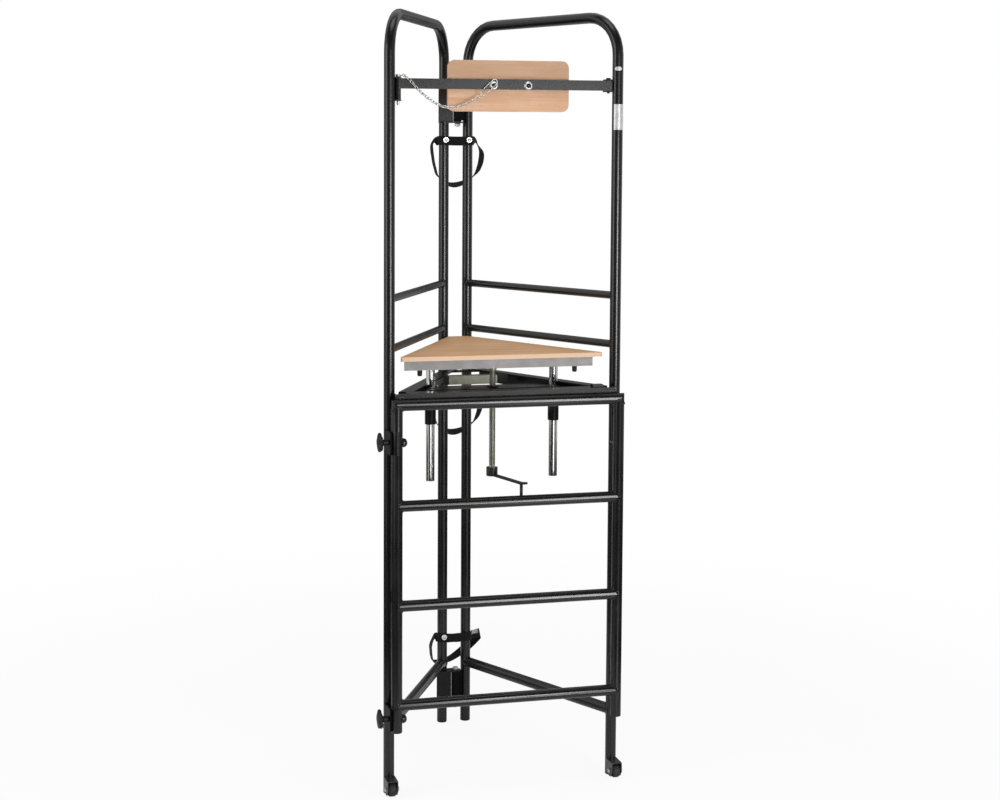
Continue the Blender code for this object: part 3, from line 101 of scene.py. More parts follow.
# Shader maths
class Shade:
    """A shader socket that Python's arithmetic works on: each sign adds its Math node."""

    def __init__(self, tree, socket):
        self.tree, self.socket = tree, socket

    def math(self, operation, first, second=0.0):
        return node(self.tree, "ShaderNodeMath", {"operation": operation}, {0: first, 1: second})

    def __add__(self, other):
        return self.math("ADD", self, other)

    def __radd__(self, other):
        return self.math("ADD", other, self)

    def __sub__(self, other):
        return self.math("SUBTRACT", self, other)

    def __rsub__(self, other):
        return self.math("SUBTRACT", other, self)

    def __mul__(self, other):
        return self.math("MULTIPLY", self, other)

    def __truediv__(self, other):
        return self.math("DIVIDE", self, other)

    def __abs__(self):
        return self.math("ABSOLUTE", self)

    def over(self, low, high):
        """0 below low and 1 above high, with a soft step between."""
        settings = {"interpolation_type": "SMOOTHSTEP"}
        return node(self.tree, "ShaderNodeMapRange", settings, {0: self, 1: low, 2: high})


def node(tree, kind, settings=None, inputs=None, result=0):
    """Adds one node: its settings first, then the values or links of its sockets."""
    made = tree.nodes.new(kind)
    for name, value in (settings or {}).items():
        setattr(made, name, value)
    for name, value in (inputs or {}).items():
        if isinstance(value, Shade):
            tree.links.new(value.socket, made.inputs[name])
        else:
            made.inputs[name].default_value = value
    return Shade(tree, made.outputs[result]) if len(made.outputs) else None


class Finish:
    """A material with one Principled shader, and the few patterns that the finishes share."""

    def __init__(self, name, **settings):
        self.material = bpy.data.materials.new(name)
        self.material.use_nodes = True
        self.tree = self.material.node_tree
        self.shader = self.tree.nodes["Principled BSDF"]
        for socket, value in settings.items():
            self.set(socket.replace("_", " ").title().replace("Ior", "IOR"), value)
        self.place = self.node("ShaderNodeTexCoord", result="Object")

    def node(self, kind, settings=None, inputs=None, result=0):
        return node(self.tree, kind, settings, inputs, result)

    def set(self, socket, value):
        if isinstance(value, Shade):
            self.tree.links.new(value.socket, self.shader.inputs[socket])
        elif isinstance(value, tuple) and len(value) == 3:
            self.shader.inputs[socket].default_value = (*value, 1)
        else:
            self.shader.inputs[socket].default_value = value

    def axes(self, vector=None):
        return [self.node("ShaderNodeSeparateXYZ", None, {0: vector or self.place}, axis) for axis in "XYZ"]

    def facing(self):
        """The surface's own direction, along each of the object's axes."""
        return self.axes(self.node("ShaderNodeTexCoord", result="Normal"))

    def stretched(self, scale):
        return self.node("ShaderNodeMapping", None, {"Vector": self.place, "Scale": scale})

    def noise(self, scale, detail=2.0, vector=None, distortion=0.0):
        return self.node("ShaderNodeTexNoise", None, {
            "Vector": vector or self.place, "Scale": scale, "Detail": detail, "Distortion": distortion})

    def waves(self, scale, vector, direction):
        return self.node("ShaderNodeTexWave", {"bands_direction": direction}, {
            "Vector": vector, "Scale": scale, "Detail": 1.0}, "Fac")

    def mix(self, factor, first, second):
        inputs = {0: factor, 6: colour(first), 7: colour(second)}
        return self.node("ShaderNodeMix", {"data_type": "RGBA"}, inputs, 2)

    def surface(self, tone, roughness, height, distance):
        """Sets the tone, the roughness and the fine relief, and hands back the material."""
        self.set("Base Color", tone)
        self.set("Roughness", roughness)
        self.set("Normal", self.node("ShaderNodeBump", None, {
            "Height": height, "Distance": distance, "Strength": 1.0}))
        return self.material


def colour(value):
    """A tone as a socket takes it, or the link that carries it."""
    return (*value, 1) if isinstance(value, tuple) else value


def deeper_tone(tone, share):
    return tuple(value * share for value in tone)


# Finishes
def black_powder_coat(name="black_powder_coat", gloss=1.0):
    """Satin black powder coat: fine orange peel, soft cloudiness and a few rubbed places."""
    made = Finish(name, specular_ior_level=0.36 * gloss, coat_weight=0.20 * gloss, coat_roughness=0.09)
    cloud = made.noise(9, 3).over(0.35, 0.7)
    rubbed = made.noise(38, 4).over(0.66, 0.80)
    coat = made.mix(cloud, (0.0050, 0.0050, 0.0053), (0.0082, 0.0082, 0.0086))
    return made.surface(
        made.mix(rubbed, coat, (0.0140, 0.0140, 0.0145)),
        made.noise(60, 3) * 0.08 + 0.22 + cloud * 0.04 + rubbed * 0.08, made.noise(650, 2), 0.000010)


def fork_coat():
    """The wheel forks' black coat, with the zinc heads of their axle bolts."""
    made = Finish("fork_coat_with_zinc_bolts", specular_ior_level=0.5, coat_weight=0.2, coat_roughness=0.25)
    x = made.axes()[0]
    off = [abs(x - (ORIGIN.x + side * HALF_FRONT)) for side in (-1, 1)]
    near = off[0].math("MINIMUM", off[0], off[1])
    bolt = near.over(LEG_R + 0.00005, LEG_R + 0.00015)  # the heads stand out beyond the fork's cheeks
    wear = made.noise(160, 4).over(0.55, 0.75)
    coat = made.mix(wear, (0.014, 0.014, 0.015), (0.045, 0.045, 0.045))
    made.set("Metallic", bolt * 0.95)
    return made.surface(
        made.mix(bolt, coat, (0.55, 0.55, 0.54)), made.noise(90, 3) * 0.14 + 0.28, made.noise(500, 2), 0.00015)


def platform_grey():
    """Grey paint on the platform's frame, a little mottled and rubbed."""
    made = Finish("platform_grey_paint", specular_ior_level=0.45, metallic=0.25)
    cloud = made.noise(14, 4).over(0.3, 0.75)
    streak = made.noise(40, 3, made.stretched((1.0, 6.0, 8.0))).over(0.4, 0.8)
    tone = made.mix(cloud, (0.184, 0.179, 0.179), (0.233, 0.225, 0.221))
    return made.surface(
        made.mix(streak * 0.5, tone, (0.147, 0.139, 0.149)), made.noise(70, 3) * 0.16 + 0.34,
        made.noise(420, 3), 0.00015)


def olive_steel(name, black_ends=None):
    """Plated steel gone dull olive grey under oil, and black beyond the two places in `black_ends`."""
    made = Finish(name, metallic=0.75)
    cloud = made.noise(22, 4).over(0.3, 0.75)
    streak = made.noise(30, 3, made.stretched((5, 5, 1))).over(0.45, 0.75)
    tone = made.mix(cloud, (0.235, 0.242, 0.190), (0.330, 0.336, 0.285))
    tone = made.mix(streak * 0.45, tone, (0.150, 0.148, 0.118))
    if black_ends:
        x, (left, right) = made.axes()[0], black_ends
        ends = 1 - x.over(left, left + 0.001) * (1 - x.over(right, right + 0.001))
        tone = made.mix(ends, tone, (0.012, 0.012, 0.012))
    return made.surface(tone, made.noise(80, 3) * 0.20 + 0.30 + cloud * 0.08, made.noise(500, 3), 0.00008)


def spangle(made):
    return made.mix(made.noise(120, 4).over(0.3, 0.75), (0.60, 0.60, 0.58), (0.78, 0.78, 0.77))


def zinc_plate():
    """Bright zinc with its faint spangle and small scratches."""
    made = Finish("zinc_plate", metallic=0.82)
    return made.surface(spangle(made), made.noise(300, 3) * 0.22 + 0.24, made.noise(900, 2), 0.00005)


def hinge_zinc(node_name):
    """The hinge bolt: zinc where its head and nut stand out, and near black where it runs between the leaves:
    painted shade.
    """
    low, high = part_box(node_name)
    made = Finish("zinc_of_" + node_name, metallic=0.8)
    z = made.axes()[2]
    # painted shade: the bolt is near black between its head and nut, where it runs between the hinge leaves
    painted_shade_shank = z.over(low.z + 0.009, low.z + 0.010) * (1 - z.over(high.z - 0.008, high.z - 0.007))
    return made.surface(
        made.mix(painted_shade_shank, spangle(made), (0.014, 0.014, 0.014)), made.noise(300, 3) * 0.22 + 0.26,
        made.noise(900, 2), 0.00005)


def guide_chrome():
    """Chromed guide tubes under a plated cross bar: rub marks run up and down, oil lies in soft rings."""
    made = Finish("guide_chrome", metallic=1.0)
    z, top = made.axes()[2], across("lift_carriage")[1].z
    bar = z.over(top - 0.0056, top - 0.0052)
    rub = made.noise(260, 3, made.stretched((1, 1, 0.02)))
    oil = made.noise(26, 3, made.stretched((0.3, 0.3, 2.0))).over(0.45, 0.75)
    tone = made.mix(oil, (0.86, 0.865, 0.86), (0.72, 0.715, 0.67))
    return made.surface(
        made.mix(bar, tone, (0.40, 0.40, 0.385)), rub * 0.10 + 0.06 + oil * 0.06 + bar * 0.22, rub, 0.00003)


def crank_steel():
    """Black coated crank, its grip rubbed through to steel at the edges."""
    grip_top = across("crank")[0].z + 0.045
    made = Finish("crank_coat", specular_ior_level=0.45)
    z = made.axes()[2]
    worn = made.noise(120, 4).over(0.52, 0.70) * (1 - z.over(grip_top - 0.004, grip_top + 0.004))
    made.set("Metallic", worn * 0.8)
    return made.surface(
        made.mix(worn, (0.013, 0.013, 0.014), (0.20, 0.20, 0.19)), made.noise(80, 3) * 0.15 + 0.32,
        made.noise(500, 2), 0.00014)


PLY = 0.0015  # one ply's thickness


def beech_plywood(name, thin, long, plies_from, face, pale, edge_tone, dark, painted_shade_heights=None):
    """Lacquered beech plywood: flecked veneer on both faces, and the edges of its plies.

    `thin` and `long` are the axes across the plies and along the grain. Between the two heights of the last
    argument the veneer is darkened upwards: painted shade over the board's upper part."""
    made = Finish(name, coat_weight=0.08, coat_roughness=0.35, specular_ior_level=0.35)
    grain = [3.0, 3.0, 3.0]
    grain[long] = 0.16
    figure = made.noise(34, 5, made.stretched(tuple(grain)), 0.6)
    flecks = [11.0, 11.0, 11.0]
    flecks[long] = 1.9
    fleck = made.noise(34, 2, made.stretched(tuple(flecks))).over(0.60, 0.70)
    cloud = made.noise(7, 3).over(0.35, 0.68)
    veneer = made.mix(figure.over(0.32, 0.70), made.mix(cloud, face, pale), dark)
    veneer = made.mix(fleck * 0.34, veneer, deeper_tone(dark, 0.55))
    if painted_shade_heights:
        # painted shade: the veneer is darkened towards the top between the two heights
        veneer = made.mix(made.axes()[2].over(*painted_shade_heights) * 0.6, veneer, deeper_tone(face, 0.62))
    depth = (made.axes()[thin] - plies_from) / PLY
    ply = depth.math("PINGPONG", depth, 1.0).over(0.40, 0.60)
    edge = made.mix(ply * 0.35, edge_tone, deeper_tone(edge_tone, 0.72))
    edge = made.mix(made.noise(420, 3).over(0.5, 0.75) * 0.3, edge, deeper_tone(edge_tone, 0.62))
    side = 1 - abs(made.facing()[thin]).over(0.45, 0.80)
    return made.surface(
        made.mix(side, veneer, edge), figure * 0.10 + 0.46 + side * 0.12, figure * 0.5 + fleck * 0.5, 0.00012)


def black_plastic():
    made = Finish("black_plastic", specular_ior_level=0.28)
    cloud = made.noise(30, 3).over(0.35, 0.7)
    return made.surface(
        made.mix(cloud, (0.007, 0.007, 0.007), (0.013, 0.013, 0.013)), made.noise(150, 3) * 0.14 + 0.40,
        made.noise(1200, 2), 0.00010)


def black_rubber():
    made = Finish("black_rubber", specular_ior_level=0.35)
    dust = made.noise(75, 4).over(0.55, 0.80)
    return made.surface(
        made.mix(dust, (0.016, 0.016, 0.016), (0.060, 0.058, 0.055)), 0.60 + dust * 0.20,
        made.noise(700, 3), 0.00020)


def black_webbing():
    """Woven polyester webbing: chevron ribs across its length, a selvedge along each edge, and a painted sheen,
    lightened to pale grey, where the lower strap is folded."""
    made = Finish("black_webbing", sheen_weight=0.02, sheen_roughness=0.35, specular_ior_level=0.15)
    cloth = made.node("ShaderNodeTexCoord", result="UV")
    along, over, _ = made.axes(cloth)
    half = STRAP_W / 2
    slant = made.node("ShaderNodeCombineXYZ", None, {0: along + abs(over - half) * 0.9, 1: over, 2: 0.0})
    ribs = made.waves(200, slant, "X")
    cords = made.waves(330, slant, "Y")
    selvedge = abs(over - half).over(0.0118, 0.0124)
    weave = ribs * 0.6 + cords * 0.4
    rubbed = made.noise(30, 4).over(0.58, 0.80)
    x, _, z = made.axes()
    low = at(0, 0, STRAP_Z["lower"]).z
    # painted sheen: where the lower strap is folded, its cloth is lightened towards pale grey
    painted_fold_sheen = x.over(ORIGIN.x + 0.056, ORIGIN.x + 0.062) * (1 - x.over(ORIGIN.x + 0.078, ORIGIN.x + 0.086))
    painted_fold_sheen = painted_fold_sheen * z.over(low - 0.002, low + 0.003) * (1 - z.over(low + 0.030, low + 0.035))
    tone = made.mix(weave * 0.7 + rubbed * 0.3, (0.003, 0.003, 0.0032), (0.009, 0.009, 0.0094))
    # the painted sheen is mixed into the cloth's tone here
    return made.surface(
        made.mix(painted_fold_sheen * 0.9, tone, (0.42, 0.42, 0.42)), 0.52 + weave * 0.12 - selvedge * 0.08,
        weave * (1 - selvedge) + selvedge * 0.6, 0.00030)


def silver_foil():
    """A bare silver foil patch, faintly creased."""
    made = Finish("silver_foil", metallic=0.35, specular_ior_level=0.5)
    crease = made.noise(150, 3, made.stretched((1, 1, 0.4)))
    return made.surface(
        made.mix(crease.over(0.3, 0.7), (0.51, 0.51, 0.51), (0.64, 0.64, 0.64)),
        made.noise(220, 3) * 0.15 + 0.30, crease, 0.00015)


# Modelling by hand
def only(piece):
    bpy.ops.object.select_all(action="DESELECT")
    piece.select_set(True)
    bpy.context.view_layer.objects.active = piece


def start_piece(primitive, name, **settings):
    """Adds a primitive with nothing else selected, and names it."""
    bpy.ops.object.select_all(action="DESELECT")
    getattr(bpy.ops.mesh, "primitive_" + primitive + "_add")(**settings)
    piece = bpy.context.object
    piece.name = piece.data.name = name
    return piece


def fix_place(piece):
    """Puts a piece's place, turn and size into its mesh."""
    only(piece)
    bpy.ops.object.transform_apply(location=True, rotation=True, scale=True)


def edit_all():
    """Goes into edit mode on the active piece, with all of it selected."""
    bpy.ops.object.mode_set(mode="EDIT")
    bpy.ops.mesh.select_all(action="SELECT")


def leave_edit():
    bpy.ops.object.mode_set(mode="OBJECT")


def close_mesh(threshold):
    """Joins the corners that lie together, turns the faces outward and leaves edit mode."""
    bpy.ops.mesh.select_all(action="SELECT")
    bpy.ops.mesh.remove_doubles(threshold=threshold)
    bpy.ops.mesh.normals_make_consistent(inside=False)
    leave_edit()


def cover(piece, finish):
    piece.data.materials.clear()
    piece.data.materials.append(finish)


def settle(piece, finish, angle=35):
    """Fixes a piece's place, smooths its round faces and gives it its finish."""
    fix_place(piece)
    bpy.ops.object.shade_smooth_by_angle(angle=math.radians(angle))
    cover(piece, finish)
    return piece


def apply_modifier(piece, kind, **settings):
    only(piece)
    made = piece.modifiers.new(kind.lower(), kind)
    for name, value in settings.items():
        setattr(made, name, value)
    bpy.ops.object.modifier_apply(modifier=made.name)


def bevel(piece, width, segments):
    apply_modifier(piece, "BEVEL", width=width, segments=segments, limit_method="ANGLE")


def join(name, pieces):
    only(pieces[0])
    for piece in pieces:
        piece.select_set(True)
    if len(pieces) > 1:
        bpy.ops.object.join()
    pieces[0].name = pieces[0].data.name = name
    return pieces[0]


def copy_to(piece, name, matrix):
    """A copy with its own mesh, laid where the matrix says."""
    twin = piece.copy()
    twin.data = piece.data.copy()
    twin.name = name
    bpy.context.scene.collection.objects.link(twin)
    twin.matrix_world = matrix
    return twin


def lay(piece, place, direction):
    """Lays the piece's Z axis along a direction, at a place."""
    turn = Vector(direction).to_track_quat("Z", "Y").to_matrix().to_4x4()
    piece.matrix_world = Matrix.Translation(place) @ turn
    return piece


def start_point(name, radius, height):
    """One point beside the Z axis, in edit mode, to draw a section from."""
    piece = start_piece("plane", name, size=0.0001, location=(radius, 0, height))
    bpy.ops.object.transform_apply(location=True)
    edit_all()
    bpy.ops.mesh.merge(type="CENTER")
    bpy.ops.mesh.select_all(action="SELECT")
    return piece


def turned(name, profile, steps=32):
    """Draws half a section beside the Z axis, a point at a time, and spins it into a closed round."""
    piece = start_point(name, *profile[0])
    for (r0, h0), (r1, h1) in zip(profile, profile[1:]):
        bpy.ops.mesh.extrude_vertices_move(TRANSFORM_OT_translate={"value": (r1 - r0, 0, h1 - h0)})
    bpy.ops.mesh.select_all(action="SELECT")
    bpy.ops.mesh.spin(steps=steps, angle=2 * math.pi, center=(0, 0, 0), axis=(0, 0, 1))
    close_mesh(0.000005)
    return piece


def drawn_ring(name, radius, wire, straight, steps):
    """A wire ring drawn out to an oval, with two straight sides along X."""
    ring = start_piece("torus", name, major_segments=steps[0], minor_segments=steps[1], major_radius=radius,
                       minor_radius=wire)
    bpy.ops.object.mode_set(mode="EDIT")
    for way in (-1, 1):
        bpy.ops.mesh.select_all(action="DESELECT")
        mesh = bmesh.from_edit_mesh(ring.data)
        for corner in mesh.verts:
            corner.select_set(corner.co.x * way > 0.0001)
        mesh.select_flush_mode()
        bmesh.update_edit_mesh(ring.data)
        bpy.ops.transform.translate(value=(way * straight / 2, 0, 0))
    leave_edit()
    return ring


def smooth_route(route, steps):
    """A flowing line through given points."""
    points = [Vector(point) for point in route]
    ends = [points[0] * 2 - points[1]] + points + [points[-1] * 2 - points[-2]]
    line = []
    for a, b, c, d in zip(ends, ends[1:], ends[2:], ends[3:]):
        for step in range(steps):
            t = step / steps
            line.append(0.5 * (2 * b + (c - a) * t + (2 * a - 5 * b + 4 * c - d) * t * t
                               + (3 * b - a - 3 * c + d) * t ** 3))
    return line + [points[-1]]


# Bolts, nuts and washers
def hex_head(name, size, height):
    """A hexagon head or nut with its chamfered top."""
    piece = start_piece("cylinder", name, vertices=6, radius=size / math.sqrt(3), depth=height,
                        location=(0, 0, height / 2))
    bpy.ops.object.transform_apply(location=True)
    bevel(piece, height * 0.09, 2)
    return piece


def button_head(name, radius, height):
    """A domed screw head with a six-sided socket."""
    dome = [(radius * math.cos(a), height * math.sin(a)) for a in (math.pi / 2 * i / 8 for i in range(9))]
    piece = turned(name, [(0, 0)] + dome[:7] + [(radius * 0.36, height), (0, height)], 24)
    cutter = start_piece("cylinder", name + "_socket", vertices=6, radius=radius * 0.36, depth=height,
                         location=(0, 0, height * 0.95))
    apply_modifier(piece, "BOOLEAN", operation="DIFFERENCE", solver="EXACT", object=cutter)
    bpy.data.objects.remove(cutter)
    return piece


def washer(name, inner, outer, thick):
    edge = thick * 0.25
    profile = [(inner, 0), (outer - edge, 0), (outer, edge), (outer, thick - edge), (outer - edge, thick),
               (inner, thick), (inner, 0)]
    return turned(name, profile, 32)


AHEAD, BEHIND = (0, -1, 0), (0, 1, 0)
EAR_BOLT_UP, TAB_T = 0.004, 0.004  # the ear's bolt above its tab's middle, and the tab's thickness
EAR_WASHER, TAB_WASHER, TAB_NUT = 0.0009, 0.0012, 0.0065  # each one's thickness
BOLT_END = (0, 0), (0.0038, 0), (0.0038, 0.0022), (0.003, 0.003), (0, 0.003)
CUP_WASHER = (
    (0.0063, 0.0), (0.0118, 0.0), (0.0122, 0.0006), (0.0118, 0.0014), (0.0100, 0.0030), (0.0086, 0.0036),
    (0.0074, 0.0034), (0.0066, 0.0022), (0.0063, 0.0))
ROUND_HEAD = (0, 0), (0.0085, 0), (0.0085, 0.0006), (0.0070, 0.0020), (0.0040, 0.0031), (0, 0.0034)
TOUCH = 0.0001  # a hair's breadth that keeps two faces from meeting


def hardware(zinc, black):
    """Bolts and washers that the solids leave out: at the tray's ears and through the backrest."""
    ear_y = across("tray_front_angle")[0].y
    ear_z = middle_of("tray_tab_left").z + EAR_BOLT_UP
    tab_back = across("tray_tab_left")[0].y + TAB_T
    for side, word in SIDES:
        ear_x = middle_of("tray_tab_" + word).x - ORIGIN.x - side * 0.001
        parts = [
            lay(button_head("ear_bolt", 0.0057, 0.0028), at(ear_x, ear_y - EAR_WASHER, ear_z), AHEAD),
            lay(washer("ear_washer", 0.0043, 0.0075, EAR_WASHER), at(ear_x, ear_y, ear_z), AHEAD),
            lay(washer("tab_washer", 0.0041, 0.0080, TAB_WASHER), at(ear_x, tab_back, ear_z), BEHIND),
            lay(hex_head("tab_nut", 0.013, TAB_NUT), at(ear_x, tab_back + TAB_WASHER, ear_z), BEHIND),
            lay(turned("tab_bolt_end", BOLT_END, 16), at(ear_x, tab_back + TAB_WASHER + TAB_NUT, ear_z), BEHIND)]
        piece = settle(join("tray_ear_bolt_" + word, parts), black)
        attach(piece, "right_frame")

    for x, (_, word) in zip(BOLTS_X, SIDES):
        ring = lay(turned("cup_washer", CUP_WASHER, 40), at(x, BAR_FRONT - TOUCH, BOLT_Z), AHEAD)
        back = lay(turned("round_head", ROUND_HEAD, 32), at(x, BOARD_HIGH.y + TOUCH, BOLT_Z), BEHIND)
        piece = settle(join("backrest_washers_" + word, [ring, back]), zinc)
        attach(piece, "backrest_bar")


def backrest_bolts(black):
    """The black socket screws that sit down in the backrest's cup washers."""
    for x, (_, word), height in zip(BOLTS_X, SIDES, (0.0068, 0.0020)):
        head = button_head("backrest_screw_" + word, 0.0062, height)
        lay(head, at(x, BAR_FRONT - 0.0002, BOLT_Z), AHEAD)
        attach(settle(head, black), "backrest_bar")


# Post straps
STRAP_W, STRAP_T = 0.028, 0.0018
STRAP_Z = {"upper": 1.838, "middle": 1.055, "lower": 0.274}
STRAP_FRONT = DEPTH - LEG_R - GAP  # where a strap lies on the rear legs
LEG_WRAP = ((-90, 0), (-67.5, 0.0004), (-45, 0.0009), (-22.5, 0.0013), (0, 0.0015))  # angle, and off the leg
LOOP_MIDDLE = 0.011  # across, between a loop's two sides
LOOP = (  # across, back from the rear legs' far side, down from the strap's own height
    (0.072, 0.004, 0.0075), (0.088, 0.012, 0.0275), (0.093, 0.02, 0.0475), (0.0895, 0.028, 0.077),
    (0.076, 0.036, 0.107), (0.037, 0.04, 0.132), (-0.004, 0.042, 0.137), (-0.0425, 0.036, 0.113),
    (-0.055, 0.03, 0.085), (-0.063, 0.024, 0.055), (-0.07, 0.01, 0.011))
SLIPPED_LOOP = (
    (0.069, -0.005, 0.002), (0.082, -0.002, 0), (0.0905, 0.006, 0.005), (0.074, 0.016, 0.026),
    (0.048, 0.024, 0.053), (-0.006, 0.03, 0.089), (-0.052, 0.028, 0.093), (-0.0635, 0.02, 0.076),
    (-0.068, 0.014, 0.05), (-0.07, 0.006, 0.0315), (-0.064, -0.001, 0.0095))
SLIPPED_LEANS = (  # the fold at the right turns the cloth's face to the front
    (0, 0.1, 1), (0, 0.2, 1), (-0.2, 0.3, 0.95), (-0.5, 0.4, 0.75), (-0.35, 0.75, 0.55))
STRAP_SCREWS = ((-0.0355, "left"), (0.0390, "right"))
SCREW_DOME = (
    (0, 0.0011), (0.0056, 0.0011), (0.0052, 0.0022), (0.0034, 0.0033), (0.0016, 0.0036), (0.0012, 0.0026),
    (0, 0.0026))


def turn_selected(turn, centre):
    """Turns what is selected about a place, one axis after the other."""
    for axis, angle in zip("XYZ", turn.to_euler("XYZ")):
        if abs(angle) > 1e-5:
            bpy.ops.transform.rotate(value=-angle, orient_axis=axis, orient_type="GLOBAL",
                                     center_override=centre)


def webbing_band(name, stations):
    """Draws a band's first edge out from place to place, turned to lie as the cloth does, and closes the ring."""
    place, lean = stations[0]
    band = start_piece("plane", name, size=STRAP_W, location=place)
    bpy.ops.object.transform_apply(location=True)
    bpy.ops.object.mode_set(mode="EDIT")
    bpy.ops.mesh.select_all(action="DESELECT")
    mesh = bmesh.from_edit_mesh(band.data)
    for corner in mesh.verts:
        corner.select_set(corner.co.y > place.y)
    bmesh.update_edit_mesh(band.data)
    bpy.ops.mesh.delete(type="VERT")
    bpy.ops.mesh.select_all(action="SELECT")
    bpy.ops.transform.translate(value=(0, STRAP_W / 2, 0))
    turn_selected(Vector((1, 0, 0)).rotation_difference(lean), place)
    for after, way in stations[1:]:
        bpy.ops.mesh.extrude_edges_move(TRANSFORM_OT_translate={"value": after - place})
        turn_selected(lean.rotation_difference(way), after)
        place, lean = after, way
    close_mesh(0.00005)
    return band


def measure_cloth(band, stations):
    """Writes each corner's length along the band and place across it, in metres, for the weave."""
    lengths = [0.0]
    for (a, _), (b, _) in zip(stations, stations[1:]):
        lengths.append(lengths[-1] + (b - a).length)
    layer = band.data.uv_layers.active or band.data.uv_layers.new(name="UVMap")
    centres = [place for place, _ in stations]
    halfway = [(a + b) / 2 for a, b in zip(centres, centres[1:])]
    for face in band.data.polygons:
        nearest = min(range(len(halfway)), key=lambda i: (halfway[i] - face.center).length)
        for corner in face.loop_indices:
            point = band.data.vertices[band.data.loops[corner].vertex_index].co
            ends = [(centres[nearest + k] - point).length for k in (0, 1)]
            k = nearest + (ends[1] < ends[0])
            over = (point - centres[k]).dot(stations[k][1])
            layer.data[corner].uv = (lengths[k], over + STRAP_W / 2)


def strap_route(level):
    """Stations of one strap: over the fronts of both rear legs, then the loop that hangs behind."""
    height, rear = STRAP_Z[level], DEPTH + LEG_R
    legs = {}
    for side in (-1, 1):
        legs[side] = []
        for angle, ease in LEG_WRAP:
            wrap, turn = LEG_R + GAP + ease + STRAP_T / 2, math.radians(angle)
            x, y = side * (HALF_REAR + wrap * math.cos(turn)), DEPTH + wrap * math.sin(turn)
            legs[side].append((at(x, y, height), Vector((0, 0, 1))))
    drop = max(down for _, _, down in LOOP)
    loop = [legs[1][-1]]
    slipped = level == "lower"
    for i, (x, back, down) in enumerate(SLIPPED_LOOP if slipped else LOOP):
        place = at(x, rear + back, height - down)
        outward = Vector((x - LOOP_MIDDLE, 0, -(down - drop / 2))).normalized()
        outward.z = -outward.z
        lean = Vector((0.2, 1, 0)) + outward * (0.62 + 0.38 * outward.x)
        if slipped and i < len(SLIPPED_LEANS):
            lean = Vector(SLIPPED_LEANS[i])
        loop.append((place, lean.normalized()))
    loop.append(legs[-1][-1])
    places = smooth_route([place for place, _ in loop], 6)
    ways = smooth_route([way for _, way in loop], 6)
    sag = []  # from the left leg to the right one, a little forward and down in between
    for x in (HALF_REAR * (1 - k / 5) for k in range(9, 0, -1)):
        share = 1 - (x / HALF_REAR) ** 2
        sag.append((at(x, STRAP_FRONT - STRAP_T / 2 - 0.001 * share, height - 0.0015 * share),
                    Vector((0, 0.10 * math.sin(x * 160), 1)).normalized()))
    behind = [(place, way.normalized()) for place, way in zip(places, ways)]
    wrap_left = list(reversed(legs[-1]))
    route = legs[1][:-1] + behind + wrap_left[1:] + sag
    return route + [route[0]]


def post_straps(webbing, zinc):
    """Three webbing loops that go round the post, screwed to the rear legs. The lower one has no right screw."""
    for level in LEVELS:
        stations = strap_route(level)
        band = webbing_band("strap_" + level, stations)
        measure_cloth(band, stations)
        apply_modifier(band, "SOLIDIFY", thickness=STRAP_T, offset=0)
        settle(band, webbing, 60)
        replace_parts(band, "post_strap_" + level)
        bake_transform(band)
        for x, word in STRAP_SCREWS[:1] if level == "lower" else STRAP_SCREWS:
            place = at(x, STRAP_FRONT - STRAP_T - TOUCH, STRAP_Z[level] + 0.002)
            parts = [lay(turned("screw_dome", SCREW_DOME, 28), place, AHEAD),
                     lay(washer("screw_washer", 0.0030, 0.0085, 0.0012), place, AHEAD)]
            piece = settle(join(f"strap_screw_{level}_{word}", parts), zinc)
            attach(piece, word + "_frame")


# Retaining chain
LINK_WIRE, LINK_RADIUS, LINK_STRAIGHT = 0.00125, 0.0033, 0.0056
LINK_PITCH = 2 * (LINK_RADIUS - LINK_WIRE) + LINK_STRAIGHT - TOUCH
CHAIN_Y = BAR_FRONT - 0.0053
CHAIN_HANG = (  # across, and up from the bar's middle
    (-0.2765, 0.01), (-0.259, -0.01), (-0.2418, -0.0262), (-0.2158, -0.0462), (-0.194, -0.058),
    (-0.1724, -0.064), (-0.1462, -0.0645), (-0.1289, -0.0612), (-0.107, -0.051), (-0.0873, -0.04),
    (-0.074, -0.0305))
HOOK_RADIUS, HOOK_WIRE = 0.0078, 0.0014
HOOK_LOW, HOOK_HIGH = (-0.0720, 0.0290), (-0.0285, -0.0120)  # across, and down from the bar's middle


